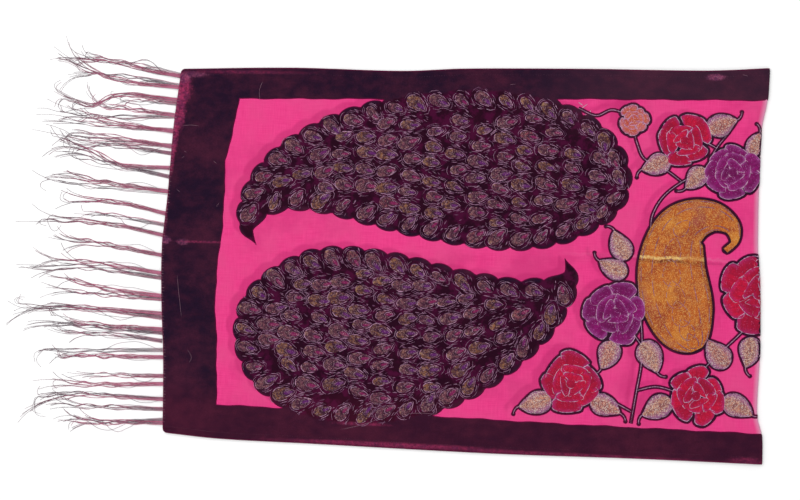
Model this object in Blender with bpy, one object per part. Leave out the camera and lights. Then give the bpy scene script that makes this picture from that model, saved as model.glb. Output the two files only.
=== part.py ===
"""Velvet scarf, folded once across its middle and lying flat, with a fringe at each end.

The cloth is one long strip of burnt-out velvet: a thin ground with a thicker pile left
standing on its borders. The fold is on the +X side, and both fringed ends lie on the -X side,
one over the other. Metres, +Z up, the surface that the scarf lies on is z = 0.
"""

import math
import random
from collections import namedtuple

import bmesh
import bpy

# Driving sizes of the cloth
SCARF_WIDTH = 0.520
HALF_LENGTH = 0.803
WALL = 0.0012
PILE = 0.0007
LAYER_GAP = 0.0005
FOLD_GAP = 0.0018
FOLD_SETTLE = 0.060

# Borders of standing pile, and the turned hem along each long side
END_BORDER = 0.082
SIDE_BORDER = 0.042
PILE_STEP = 0.0010
HEM_WIDTH = 0.009
HEM_GROOVE = 0.0004
EDGE_ROUND = 0.0020

# Spacing of the mesh, with closer lines where the long crease and the cross crease run
ALONG_STEP = 0.022
ACROSS_STEP = 0.022
LOWER_STATIONS = 14
FOLD_STATIONS = 8
LONG_CREASE_LINES = (0.252, 0.262, 0.270, 0.282)
CROSS_CREASE_LINES = (0.732, 0.741, 0.750)

# Fringe: bundles of loose threads, rooted in a narrow strip at the end of each layer
BUNDLE_PITCH = 0.0268
UPPER_BUNDLES = 19
LOWER_BUNDLES = 18
BUNDLE_JITTER = 0.0010
STRANDS_A_BUNDLE = 6
STRIP_WIDTH = 0.0022
STRIP_THICKNESS = 0.0010
STRIP_GAP = 0.0003
STRIP_INSET = 0.006
STRAND_WIDTH = 0.0008
STRAND_PITCH = 0.0011
STRAND_SPREAD = 1.5
STRAND_STATIONS = (0.22, 0.45, 0.70)
BUNDLE_SHORTEST = 0.165
STRAND_LONGEST = 0.225
SHORTEST_SHARE = 0.80
STRAND_TIP_HEIGHT = 0.0004
TIP_SHARE = 0.55
DROOP_LENGTH = 0.090
SWAY = 0.0012
SWAY_LENGTH = 0.200

EdgePoint = namedtuple("EdgePoint", "share out")
Crease = namedtuple("Crease", "x0 y0 x1 y1 height half_width")
Billow = namedtuple("Billow", "x y radius_x radius_y height")
Drift = namedtuple("Drift", "share sideways")

# How far each edge stands out of the plain rectangle. The end and the fold are read from the
# near long side to the far one, and the two long sides from the fringed end to the fold.
END_EDGE = (
    EdgePoint(0.00, 0.001),
    EdgePoint(0.20, 0.005),
    EdgePoint(0.35, 0.011),
    EdgePoint(0.50, 0.014),
    EdgePoint(0.66, 0.009),
    EdgePoint(0.85, 0.005),
    EdgePoint(1.00, -0.002),
)
FOLD_EDGE = (
    EdgePoint(0.00, 0.008),
    EdgePoint(0.07, 0.007),
    EdgePoint(0.12, 0.001),
    EdgePoint(0.27, 0.003),
    EdgePoint(0.45, 0.001),
    EdgePoint(0.56, -0.002),
    EdgePoint(0.84, 0.000),
    EdgePoint(0.92, 0.007),
    EdgePoint(1.00, 0.009),
)
FAR_SIDE = (
    EdgePoint(0.00, -0.005),
    EdgePoint(0.20, -0.002),
    EdgePoint(0.39, -0.005),
    EdgePoint(0.50, -0.001),
    EdgePoint(0.70, 0.000),
    EdgePoint(0.90, -0.001),
    EdgePoint(1.00, 0.003),
)
NEAR_SIDE = (
    EdgePoint(0.00, -0.004),
    EdgePoint(0.10, 0.001),
    EdgePoint(0.25, 0.002),
    EdgePoint(0.57, 0.004),
    EdgePoint(0.80, 0.002),
    EdgePoint(1.00, 0.002),
)

# Soft ridges left in the upper layer by folding the scarf away, and where it lifts a little
CREASES = (
    Crease(-0.010, 0.012, 0.420, 0.006, 0.0017, 0.010),
    Crease(0.420, 0.006, 0.800, 0.002, 0.0026, 0.010),
    Crease(0.744, 0.180, 0.740, -0.120, 0.0016, 0.009),
    Crease(0.248, -0.244, 0.310, -0.220, 0.0012, 0.012),
    Crease(0.240, 0.190, 0.300, 0.120, 0.0010, 0.014),
    Crease(0.560, -0.236, 0.430, -0.246, 0.0012, 0.012),
    Crease(0.120, -0.090, 0.150, -0.190, 0.0008, 0.014),
)
BILLOWS = (
    Billow(0.130, 0.120, 0.060, 0.070, 0.0014),
    Billow(0.340, 0.110, 0.090, 0.070, 0.0012),
    Billow(0.300, -0.110, 0.110, 0.080, 0.0015),
    Billow(0.540, 0.140, 0.090, 0.060, 0.0013),
    Billow(0.530, -0.150, 0.080, 0.060, 0.0016),
    Billow(0.735, 0.150, 0.060, 0.070, 0.0018),
    Billow(0.745, -0.140, 0.060, 0.060, 0.0014),
    Billow(0.660, 0.252, 0.120, 0.020, 0.0016),
    Billow(0.060, -0.200, 0.050, 0.060, 0.0012),
)

# How far the fringe runs towards the far side by its tips, read from the near side to the far
FRINGE_DRIFT = (
    Drift(0.00, 0.008),
    Drift(0.25, 0.011),
    Drift(0.50, 0.015),
    Drift(0.75, 0.017),
    Drift(0.90, 0.028),
    Drift(1.00, 0.050),
)

MATERIALS = {
    "velvet": {"color": (0.030, 0.009, 0.022), "roughness": 0.85, "metallic": 0.0},
    "thread": {"color": (0.250, 0.055, 0.100), "roughness": 0.60, "metallic": 0.0},
}


def read_table(table, share):
    """The smooth curve through a table of two columns, read at a share from 0 to 1."""
    last = len(table) - 1
    share = min(max(share, table[0][0]), table[last][0])
    i = 0
    while i < last - 1 and share > table[i + 1][0]:
        i += 1
    span = table[i + 1][0] - table[i][0]

    def slope(k):
        before = table[max(k - 1, 0)]
        after = table[min(k + 1, last)]
        return (after[1] - before[1]) / (after[0] - before[0])

    u = (share - table[i][0]) / span
    return (
        (2 * u**3 - 3 * u**2 + 1) * table[i][1]
        + (u**3 - 2 * u**2 + u) * span * slope(i)
        + (3 * u**2 - 2 * u**3) * table[i + 1][1]
        + (u**3 - u**2) * span * slope(i + 1)
    )


def smooth_step(u):
    u = min(max(u, 0.0), 1.0)
    return u * u * (3 - 2 * u)


def place(along, across):
    """The point of the laid-out half at a share along it and a share across it."""
    x_end = -read_table(END_EDGE, across)
    x_fold = HALF_LENGTH + read_table(FOLD_EDGE, across)
    y_near = -SCARF_WIDTH / 2 - read_table(NEAR_SIDE, along)
    y_far = SCARF_WIDTH / 2 + read_table(FAR_SIDE, along)
    return x_end + along * (x_fold - x_end), y_near + across * (y_far - y_near)


def crease_lift(crease, x, y):
    run_x = crease.x1 - crease.x0
    run_y = crease.y1 - crease.y0
    length_squared = run_x**2 + run_y**2
    share = ((x - crease.x0) * run_x + (y - crease.y0) * run_y) / length_squared
    share = min(max(share, 0.0), 1.0)
    near_x = crease.x0 + share * run_x
    near_y = crease.y0 + share * run_y
    away = math.hypot(x - near_x, y - near_y) / crease.half_width
    return crease.height * math.exp(-away * away)


def billow_lift(billow, x, y):
    away = ((x - billow.x) / billow.radius_x) ** 2 + ((y - billow.y) / billow.radius_y) ** 2
    return billow.height * math.exp(-away)


def lift(x, y):
    """How far the upper layer stands above its lowest lie at a point."""
    ridges = sum(crease_lift(crease, x, y) for crease in CREASES)
    swells = sum(billow_lift(billow, x, y) for billow in BILLOWS)
    return ridges + swells


def upper_underside(x, y, along, across):
    """Height of the upper layer's underside. It rises to meet the roll of the fold."""
    x_fold = place(1.0, across)[0]
    near_fold = smooth_step(1 - (x_fold - x) / FOLD_SETTLE)
    resting = WALL + LAYER_GAP + lift(x, y) * (1 - near_fold)
    rolled = WALL + FOLD_GAP
    return resting + (rolled - resting) * near_fold


def pile_height(along, across, x, y):
    """Pile left standing on the borders, with the hem's stitched groove along the long sides."""
    x_end = place(0.0, across)[0]
    from_end = x - x_end
    y_near = place(along, 0.0)[1]
    y_far = place(along, 1.0)[1]
    from_side = min(y - y_near, y_far - y)
    on_border = max(
        smooth_step(0.5 + (END_BORDER - from_end) / PILE_STEP),
        smooth_step(0.5 + (SIDE_BORDER - from_side) / PILE_STEP),
    )
    groove = HEM_GROOVE * max(0.0, 1 - abs(from_side - HEM_WIDTH) / EDGE_ROUND)
    rim = smooth_step(min(from_side, from_end) / EDGE_ROUND)
    return PILE * on_border * rim - groove


def shares_with_steps(length, spacing, marks):
    """Even shares from 0 to 1, with extra ones at the marked distances and none crowding them."""
    wanted = sorted(mark / length for mark in marks)
    count = round(length / spacing)
    clear = 0.4 * spacing / length
    even = [i / count for i in range(1, count)]
    kept = [share for share in even if all(abs(share - mark) > clear for mark in wanted)]
    return sorted([0.0, 1.0, *kept, *wanted])


def across_shares():
    near = [
        EDGE_ROUND,
        HEM_WIDTH - EDGE_ROUND,
        HEM_WIDTH,
        HEM_WIDTH + EDGE_ROUND,
        SIDE_BORDER - PILE_STEP / 2,
        SIDE_BORDER + PILE_STEP / 2,
    ]
    far = [SCARF_WIDTH - mark for mark in near]
    return shares_with_steps(SCARF_WIDTH, ACROSS_STEP, [*near, *LONG_CREASE_LINES, *far])


def along_shares():
    border = [EDGE_ROUND, END_BORDER - PILE_STEP / 2, END_BORDER + PILE_STEP / 2]
    return shares_with_steps(HALF_LENGTH, ALONG_STEP, [*border, *CROSS_CREASE_LINES])


def lower_stations(across):
    """Pairs of outer and inner points along the lower layer, from its end to the fold."""
    roll = WALL + FOLD_GAP / 2
    pairs = []
    for i in range(LOWER_STATIONS):
        along = i / LOWER_STATIONS
        x, y = place(along, across)
        x -= roll * along
        pairs.append(((x, y, 0.0), (x, y, WALL)))
    return pairs


def fold_stations(across):
    """Pairs around the fold, from under it to the top of it."""
    inner = FOLD_GAP / 2
    outer = inner + WALL
    x_fold, y = place(1.0, across)
    x_centre = x_fold - outer
    pairs = []
    for i in range(FOLD_STATIONS + 1):
        turn = math.pi * (i / FOLD_STATIONS - 0.5)
        rise = smooth_step(i / FOLD_STATIONS)
        radius = outer + rise * pile_height(1.0, across, x_fold, y)
        pairs.append(
            (
                (x_centre + radius * math.cos(turn), y, outer + radius * math.sin(turn)),
                (x_centre + inner * math.cos(turn), y, outer + inner * math.sin(turn)),
            )
        )
    return pairs


def upper_stations(across):
    """Pairs along the upper layer, from the fold back to its end."""
    roll = WALL + FOLD_GAP / 2
    pairs = []
    for along in reversed(along_shares()[:-1]):
        x, y = place(along, across)
        x -= roll * along
        under = upper_underside(x, y, along, across)
        top = under + WALL + pile_height(along, across, x, y)
        pairs.append(((x, y, top), (x, y, under)))
    return pairs


def mesh_object(name, points, faces, material):
    mesh = bpy.data.meshes.new(name)
    mesh.from_pydata(points, [], faces)
    shape = bmesh.new()
    shape.from_mesh(mesh)
    bmesh.ops.recalc_face_normals(shape, faces=shape.faces)
    shape.to_mesh(mesh)
    shape.free()
    mesh.shade_smooth()
    mesh.set_sharp_from_angle(angle=math.radians(40))
    mesh.materials.append(material)
    made = bpy.data.objects.new(name, mesh)
    bpy.context.scene.collection.objects.link(made)
    return made


def folded_cloth(material):
    """The whole length of cloth: a wall that runs out along the floor, folds and comes back."""
    columns = []
    for across in across_shares():
        pairs = lower_stations(across) + fold_stations(across) + upper_stations(across)
        columns.append(pairs)
    stations = len(columns[0])
    points = []
    for pairs in columns:
        points += [outer for outer, inner in pairs]
        points += [inner for outer, inner in pairs]

    def outer_point(column, station):
        return column * 2 * stations + station

    def inner_point(column, station):
        return outer_point(column, station) + stations

    faces = []
    for c in range(len(columns) - 1):
        for s in range(stations - 1):
            for point in (outer_point, inner_point):
                corners = (point(c, s), point(c + 1, s), point(c + 1, s + 1), point(c, s + 1))
                faces.append(corners)
        for s in (0, stations - 1):
            faces.append(
                (outer_point(c, s), outer_point(c + 1, s), inner_point(c + 1, s), inner_point(c, s))
            )
    for c in (0, len(columns) - 1):
        for s in range(stations - 1):
            faces.append(
                (outer_point(c, s), outer_point(c, s + 1), inner_point(c, s + 1), inner_point(c, s))
            )
    return mesh_object("scarf_cloth", points, faces, material)


def strand_rings(root, across, index, runs, phase):
    """Rings of three points along one strand, one ring for each run out from its root."""
    middle = (STRANDS_A_BUNDLE - 1) / 2
    fan = (index - middle) * STRAND_PITCH * (STRAND_SPREAD - 1)
    sideways = read_table(FRINGE_DRIFT, across)
    turn = 2 * math.pi / SWAY_LENGTH
    rings = []
    for run in runs:
        share = run / STRAND_LONGEST
        sway = SWAY * (math.sin(turn * run + phase) - math.sin(phase))
        x = root[0] - run
        y = root[1] + fan * math.sin(0.5 * math.pi * share) + sideways * share + sway
        z = root[2] + (STRAND_TIP_HEIGHT - root[2]) * smooth_step(run / DROOP_LENGTH)
        half = STRAND_WIDTH / 2 * (1 - (1 - TIP_SHARE) * share)
        rings.append(((x, y - half, z), (x, y + half, z), (x, y, z + 1.7 * half)))
    return rings


def bundle_runs(chance):
    """The runs of each strand of one bundle. Only the last, its own length, differs."""
    length = chance.uniform(BUNDLE_SHORTEST, STRAND_LONGEST)
    shared = [share * length for share in STRAND_STATIONS]
    own = [chance.uniform(SHORTEST_SHARE, 1.0) * length for _ in range(STRANDS_A_BUNDLE)]
    return [[*shared, last] for last in own]


def fringe(name, z_strip, bundles, seed, material):
    """A strip along one end of the cloth with every strand of that end's fringe rooted in it."""
    chance = random.Random(seed)
    points = []
    faces = []

    def add_point(x, y, z):
        points.append((x, y, z))
        return len(points) - 1

    def strip_line(y):
        """Four points across the strip at one place: front and back low, back and front high."""
        back = place(0.0, y / SCARF_WIDTH + 0.5)[0] - STRIP_GAP
        front = back - STRIP_WIDTH
        high = z_strip + STRIP_THICKNESS
        return (
            add_point(front, y, z_strip),
            add_point(back, y, z_strip),
            add_point(back, y, high),
            add_point(front, y, high),
        )

    def close_strip(a, b):
        """The four sides of the strip between two lines, where no strand is rooted."""
        for i in range(4):
            j = (i + 1) % 4
            faces.append((a[i], b[i], b[j], a[j]))

    def root_strand(y, index, runs, phase):
        """A strand grown out of the strip's front face. It returns the strip's lines beside it."""
        a = strip_line(y - STRAND_WIDTH / 2)
        b = strip_line(y + STRAND_WIDTH / 2)
        x_front = (points[a[0]][0] + points[b[0]][0]) / 2
        top = add_point(x_front, y, z_strip + STRIP_THICKNESS)
        faces.append((a[0], b[0], b[1], a[1]))
        faces.append((a[1], b[1], b[2], a[2]))
        faces.append((a[2], b[2], b[3], top, a[3]))
        faces.append((a[3], top, a[0]))
        faces.append((top, b[3], b[0]))
        ring = (a[0], b[0], top)
        root = (x_front, y, z_strip)
        for corners in strand_rings(root, y / SCARF_WIDTH + 0.5, index, runs, phase):
            following = tuple(add_point(*corner) for corner in corners)
            for i in range(3):
                j = (i + 1) % 3
                faces.append((ring[i], ring[j], following[j], following[i]))
            ring = following
        faces.append(ring)
        return a, b

    last = strip_line(-SCARF_WIDTH / 2 + STRIP_INSET)
    faces.append(last)
    for bundle in range(bundles):
        middle = (bundle - (bundles - 1) / 2) * BUNDLE_PITCH
        middle += chance.uniform(-BUNDLE_JITTER, BUNDLE_JITTER)
        phase = chance.uniform(0, 2 * math.pi)
        for index, runs in enumerate(bundle_runs(chance)):
            y = middle + (index - (STRANDS_A_BUNDLE - 1) / 2) * STRAND_PITCH
            a, b = root_strand(y, index, runs, phase)
            close_strip(last, a)
            last = b
    far = strip_line(SCARF_WIDTH / 2 - STRIP_INSET)
    close_strip(last, far)
    faces.append(far)
    return mesh_object(name, points, faces, material)


def principled(name):
    looks = MATERIALS[name]
    material = bpy.data.materials.new(name)
    material.use_nodes = True
    shader = material.node_tree.nodes["Principled BSDF"]
    shader.inputs["Base Color"].default_value = (*looks["color"], 1.0)
    shader.inputs["Roughness"].default_value = looks["roughness"]
    shader.inputs["Metallic"].default_value = looks["metallic"]
    return material


def centre_on_origin(made):
    """Moves every mesh so that the middle of the whole scarf's footprint is the origin."""
    corners = [vertex.co for one in made for vertex in one.data.vertices]
    x_middle = (min(c.x for c in corners) + max(c.x for c in corners)) / 2
    y_middle = (min(c.y for c in corners) + max(c.y for c in corners)) / 2
    for one in made:
        for vertex in one.data.vertices:
            vertex.co.x -= x_middle
            vertex.co.y -= y_middle


def main():
    for old in list(bpy.data.objects):
        bpy.data.objects.remove(old)
    velvet = principled("velvet")
    thread = principled("thread")
    upper_end = WALL + LAYER_GAP
    made = [
        folded_cloth(velvet),
        fringe("fringe_upper_end", upper_end, UPPER_BUNDLES, 3, thread),
        fringe("fringe_lower_end", 0.0, LOWER_BUNDLES, 5, thread),
    ]
    centre_on_origin(made)


main()
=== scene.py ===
import math
import random

import bpy
import numpy as np
from mathutils import Matrix, Vector
from mathutils.geometry import delaunay_2d_cdt
from mathutils.kdtree import KDTree


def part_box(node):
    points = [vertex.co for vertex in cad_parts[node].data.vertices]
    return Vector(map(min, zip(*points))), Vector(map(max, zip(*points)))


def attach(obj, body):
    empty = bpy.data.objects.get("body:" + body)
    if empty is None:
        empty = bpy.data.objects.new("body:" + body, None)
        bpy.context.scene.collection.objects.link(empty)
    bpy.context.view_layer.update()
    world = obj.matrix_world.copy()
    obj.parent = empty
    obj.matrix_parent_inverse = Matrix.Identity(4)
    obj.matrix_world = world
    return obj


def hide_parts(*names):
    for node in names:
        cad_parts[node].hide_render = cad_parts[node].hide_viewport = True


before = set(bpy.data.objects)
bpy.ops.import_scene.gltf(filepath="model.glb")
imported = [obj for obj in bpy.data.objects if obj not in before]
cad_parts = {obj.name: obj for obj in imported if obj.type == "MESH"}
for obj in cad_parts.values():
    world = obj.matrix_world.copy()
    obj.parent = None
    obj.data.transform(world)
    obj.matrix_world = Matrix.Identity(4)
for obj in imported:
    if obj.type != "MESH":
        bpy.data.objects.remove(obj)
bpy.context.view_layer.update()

# Lengths are in millimetres: x from the fringed end to the fold, y across the scarf
# with the middle at 0. newPiece turns them into metres and moves them onto the frame.
mm = 0.001

cloth = {
    "width": 520.0,
    "half": 803.0,        # from the fringed end to the fold
    "wall": 1.2,
    "layerGap": 0.5,
    "foldGap": 1.8,
    "foldSettle": 60.0,   # how far from the fold the upper layer starts to rise
    "sheer": 0.3,         # thickness of the pink ground
    "lowerGround": 0.7,   # height of the lower layer's ground, its pile reaches the floor
    "pressFrom": 0.5,     # height where the lower layer's pile starts to be pressed
    "ripple": 0.22,       # small waves of the ground
    "cornerRound": 6.0,   # the two corners at the fringed end
    "cellsAcross": 96,
    "cellsUpper": 150,
    "cellsFold": 8,
    "cellsLower": 96,
}
cloth["outerRoll"] = cloth["wall"] + cloth["foldGap"] / 2
cloth["lowerRoll"] = cloth["outerRoll"] - cloth["lowerGround"]
cloth["foldArc"] = math.pi * (cloth["outerRoll"] + cloth["lowerRoll"]) / 2

# share along an edge, how far the edge stands out of the plain rectangle
endEdge = [(0, 1), (0.20, 5), (0.35, 11), (0.50, 14), (0.66, 9), (0.85, 5), (1, -2)]
foldEdge = [(0, 8), (0.07, 7), (0.12, 1), (0.27, 3), (0.45, 1), (0.56, -2), (0.84, 0), (0.92, 7), (1, 9)]
farSide = [(0, -5), (0.20, -2), (0.39, -5), (0.50, -1), (0.70, 0), (0.90, -1), (1, 3)]
nearSide = [(0, -4), (0.10, 1), (0.25, 2), (0.57, 4), (0.80, 2), (1, 2)]

# x0, y0, x1, y1, height, half width
creases = [
    (-10, 12, 420, 6, 1.7, 10),
    (420, 6, 800, 2, 2.6, 10),
    (744, 180, 740, -120, 1.6, 9),
    (248, -244, 310, -220, 1.2, 12),
    (240, 190, 300, 120, 1.0, 14),
    (560, -236, 430, -246, 1.2, 12),
    (120, -90, 150, -190, 0.8, 14),
]
# x, y, radius along, radius across, height
billows = [
    (130, 120, 60, 70, 1.4),
    (340, 110, 90, 70, 1.2),
    (300, -110, 110, 80, 1.5),
    (540, 140, 90, 60, 1.3),
    (530, -150, 80, 60, 1.6),
    (735, 150, 60, 70, 1.8),
    (745, -140, 60, 60, 1.4),
    (660, 252, 120, 20, 1.6),
    (60, -200, 50, 60, 1.2),
]
# small soft creases of the upper layer, and the ones that only the underside shows
finerCreases = [
    (96, 150, 150, 96, 0.35, 5),
    (100, 60, 176, 44, 0.30, 5),
    (560, 200, 640, 206, 0.30, 5),
    (700, -205, 780, -190, 0.35, 6),
    (92, -190, 150, -150, 0.35, 5),
    (610, 60, 652, -10, 0.30, 5),
    (776, 40, 770, 150, 0.40, 6),
    (560, 9, 806, 4, 0.9, 4.5),
    (560, -2, 806, -6, -0.8, 4.5),
]
undersideCreases = [
    (0, 8, 430, 2, 0.55, 12),
    (430, 2, 800, -3, 0.60, 12),
    (738, 190, 745, -150, 0.45, 10),
    (250, 150, 330, 236, 0.40, 12),
    (160, -210, 300, -180, 0.40, 14),
    (560, 90, 640, 180, 0.35, 12),
    (470, -90, 560, -170, 0.35, 12),
]


def readTable(table, share):
    rows = np.array(table, float)
    share = np.clip(np.asarray(share, float), rows[0, 0], rows[-1, 0])
    i = np.clip(np.searchsorted(rows[:, 0], share, side="left") - 1, 0, len(rows) - 2)
    last = len(rows) - 1
    before = rows[np.maximum(np.arange(len(rows)) - 1, 0)]
    after = rows[np.minimum(np.arange(len(rows)) + 1, last)]
    slope = (after[:, 1] - before[:, 1]) / (after[:, 0] - before[:, 0])
    span = rows[i + 1, 0] - rows[i, 0]
    u = (share - rows[i, 0]) / span
    return (
        (2 * u**3 - 3 * u**2 + 1) * rows[i, 1]
        + (u**3 - 2 * u**2 + u) * span * slope[i]
        + (3 * u**2 - 2 * u**3) * rows[i + 1, 1]
        + (u**3 - u**2) * span * slope[i + 1]
    )


def smooth(u):
    u = np.clip(u, 0, 1)
    return u * u * (3 - 2 * u)


def waves(x, y, size, seed):
    # a slow smooth random field made of a few crossing waves
    chance = random.Random(seed)
    total = 0
    for _ in range(6):
        turn = chance.uniform(0, 2 * math.pi)
        reach = size * chance.uniform(0.7, 1.5)
        ahead = x * math.cos(turn) + y * math.sin(turn)
        total = total + np.sin(ahead * 2 * math.pi / reach + chance.uniform(0, 6.3))
    return total / 6


# shares along one half, closer together round the corners
alongSteps = np.concatenate([
    np.array([0, 0.15, 0.5, 1.1, 2.0, 3.2, 4.6]) / cloth["half"],
    np.linspace(6 / cloth["half"], 1, 190),
])


def foldCentre(y):
    share = np.asarray(y, float) / cloth["width"] + 0.5
    return cloth["half"] + readTable(foldEdge, share) - cloth["outerRoll"]


def sheetPoint(along, across):
    # a point of the laid-out half at a share along it and a share across it
    xEnd = -readTable(endEdge, across)
    xFold = cloth["half"] + readTable(foldEdge, across) - cloth["outerRoll"]
    fromEnd = np.clip(along * cloth["half"], 0, cloth["cornerRound"])
    radius = cloth["cornerRound"]
    rounded = radius - np.sqrt(radius**2 - (radius - fromEnd) ** 2)
    yNear = -cloth["width"] / 2 - readTable(nearSide, along) + rounded
    yFar = cloth["width"] / 2 + readTable(farSide, along) - rounded
    return xEnd + along * (xFold - xEnd), yNear + across * (yFar - yNear)


def creaseLift(rows, x, y):
    total = np.zeros(np.shape(x))
    for x0, y0, x1, y1, height, half in rows:
        share = ((x - x0) * (x1 - x0) + (y - y0) * (y1 - y0)) / ((x1 - x0) ** 2 + (y1 - y0) ** 2)
        share = np.clip(share, 0, 1)
        away = np.hypot(x - x0 - share * (x1 - x0), y - y0 - share * (y1 - y0)) / half
        total += height * np.exp(-away * away)
    return total


def nearFold(x, y):
    return smooth(1 - (foldCentre(y) + cloth["outerRoll"] - x) / cloth["foldSettle"])


def upperGround(x, y):
    near = nearFold(x, y)
    lift = creaseLift(creases, x, y) + creaseLift(finerCreases, x, y)
    for bx, by, rx, ry, height in billows:
        lift = lift + height * np.exp(-(((x - bx) / rx) ** 2) - ((y - by) / ry) ** 2)
    lift = lift + cloth["ripple"] * (waves(x, y, 46, 11) + waves(x, y, 120, 12))
    resting = 2 * cloth["wall"] + cloth["layerGap"] + cloth["ripple"] + lift * (1 - near)
    return resting + (2 * cloth["outerRoll"] - resting) * near


def lowerGround(x, y):
    # the lower layer lies on its pile, so its waves only rise
    return cloth["lowerGround"] + creaseLift(undersideCreases, x, y) * (1 - nearFold(x, y))


def onCloth(x, y, out):
    # unrolled place on the whole cloth, and height above its ground, to a point in space
    x, y, out = np.broadcast_arrays(np.asarray(x, float), np.asarray(y, float), np.asarray(out, float))
    centre = foldCentre(y)
    past = x - centre
    turn = np.clip(past / cloth["foldArc"], 0, 1) * math.pi
    # what stands up on the lower half is pressed flat by the weight on it
    spare = cloth["lowerGround"] - cloth["pressFrom"]
    pressed = cloth["pressFrom"] + 0.95 * spare * (1 - np.exp(-(out - cloth["pressFrom"]) / spare))
    out = np.where(out > cloth["pressFrom"], out + (pressed - out) * turn / math.pi, out)
    radius = cloth["outerRoll"] + (cloth["lowerRoll"] - cloth["outerRoll"]) * turn / math.pi + out
    back = centre - (past - cloth["foldArc"])
    onUpper, onLower = past <= 0, past >= cloth["foldArc"]
    roundFold = centre + radius * np.sin(turn), cloth["outerRoll"] + radius * np.cos(turn)
    px = np.where(onUpper, x, np.where(onLower, back, roundFold[0]))
    lower = np.where(onLower, lowerGround(back, y) - out, roundFold[1])
    return np.stack([px, y, np.where(onUpper, upperGround(x, y) + out, lower)], axis=-1)


def toUnderside(x, y):
    # the same place on the lower half, in unrolled lengths
    return 2 * foldCentre(y) + cloth["foldArc"] - x


def turnedUnder(flat):
    # an outline of the upper half in the same place on the lower one
    return np.column_stack([toUnderside(flat[:, 0], flat[:, 1]), flat[:, 1]])


def roundTheFold(x, y, turns):
    # a line of the upper half carried on round the fold and back along the lower half
    foldX = x[-1] + cloth["foldArc"] * np.array(turns)
    foldY = np.full(len(turns), y[-1])
    outX = np.concatenate([x, foldX, toUnderside(x, y)[::-1]])
    return np.column_stack([outX, np.concatenate([y, foldY, y[::-1]])])


# Where the cloth's own corner lies in the frame
fineAcross = np.linspace(0, 1, 400)
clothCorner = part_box("scarf_cloth")[0]
shift = np.array([
    clothCorner.x / mm - sheetPoint(np.zeros(400), fineAcross)[0].min(),
    clothCorner.y / mm - sheetPoint(fineAcross, np.zeros(400))[1].min(),
    0.0,
])


def newPiece(name, points, faces, material, layers=None):
    mesh = bpy.data.meshes.new(name)
    mesh.from_pydata(((points + shift) * mm).tolist(), [], [tuple(f) for f in faces])
    for key, values in (layers or {}).items():
        values = np.asarray(values, np.float32)
        if values.ndim == 2:
            mesh.attributes.new(key, "FLOAT_VECTOR", "POINT").data.foreach_set("vector", values.ravel())
        else:
            mesh.attributes.new(key, "FLOAT", "POINT").data.foreach_set("value", values)
    mesh.shade_smooth()
    mesh.materials.append(material)
    piece = bpy.data.objects.new(name, mesh)
    bpy.context.scene.collection.objects.link(piece)
    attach(piece, "root")
    print(name, len(mesh.vertices), "points", sum(len(f) - 2 for f in faces), "triangles")
    return piece


# Node helpers
def fillInputs(tree, node, values):
    for key, value in values.items():
        if isinstance(value, bpy.types.NodeSocket):
            tree.links.new(value, node.inputs[key])
        else:
            node.inputs[key].default_value = value
    return node


def addNode(tree, kind, values=None, **settings):
    node = tree.nodes.new(kind)
    for key, value in settings.items():
        setattr(node, key, value)
    return fillInputs(tree, node, values or {})


def useGroup(tree, group, values):
    return addNode(tree, "ShaderNodeGroup", values, node_tree=group).outputs


def calc(tree, operation, a, b=0.0):
    return addNode(tree, "ShaderNodeMath", {0: a, 1: b}, operation=operation).outputs[0]


def times(tree, a, *others):
    for b in others:
        a = calc(tree, "MULTIPLY", a, b)
    return a


def plus(tree, a, b):
    return calc(tree, "ADD", a, b)


def minus(tree, a, b):
    return calc(tree, "SUBTRACT", a, b)


def weighed(tree, a, shareA, b, shareB):
    return plus(tree, times(tree, a, shareA), times(tree, b, shareB))


def vectorCalc(tree, operation, values):
    return addNode(tree, "ShaderNodeVectorMath", values, operation=operation).outputs


def placeOn(tree):
    return addNode(tree, "ShaderNodeTexCoord").outputs["Object"]


def axesOf(tree, vector):
    return addNode(tree, "ShaderNodeSeparateXYZ", {0: vector}).outputs


def attribute(tree, name, output="Fac"):
    return addNode(tree, "ShaderNodeAttribute", attribute_name=name).outputs[output]


def localOf(tree):
    return axesOf(tree, attribute(tree, "local", "Vector"))


def stretched(tree, place, scale):
    return addNode(tree, "ShaderNodeMapping", {"Vector": place, "Scale": scale}).outputs["Vector"]


def blendColors(tree, share, a, b):
    return addNode(tree, "ShaderNodeMix", {0: share, 6: a, 7: b}, data_type="RGBA").outputs[2]


def layered(tree, color, *layers):
    # each layer: how much of it shows, and its colour
    for share, over in layers:
        color = blendColors(tree, share, color, over)
    return color


def ramp(tree, value, low, high, to=(0.0, 1.0)):
    return addNode(
        tree, "ShaderNodeMapRange",
        {"Value": value, "From Min": low, "From Max": high, "To Min": to[0], "To Max": to[1]},
        interpolation_type="SMOOTHSTEP",
    ).outputs["Result"]


def noiseAt(tree, place, scale, detail=2.0, rough=0.5):
    values = {"Vector": place, "Scale": scale, "Detail": detail, "Roughness": rough}
    return addNode(tree, "ShaderNodeTexNoise", values).outputs["Fac"]


def patches(tree, place, noise, low, high, to=(0.0, 1.0)):
    # noise: scale, detail and roughness
    return ramp(tree, noiseAt(tree, place, *noise), low, high, to)


def clouded(tree, place, color, rows):
    # each row: noise, where it starts and where it is full, amount, colour
    for noise, (low, high), amount, over in rows:
        color = blendColors(tree, patches(tree, place, noise, low, high, (0.0, amount)), color, over)
    return color


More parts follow.
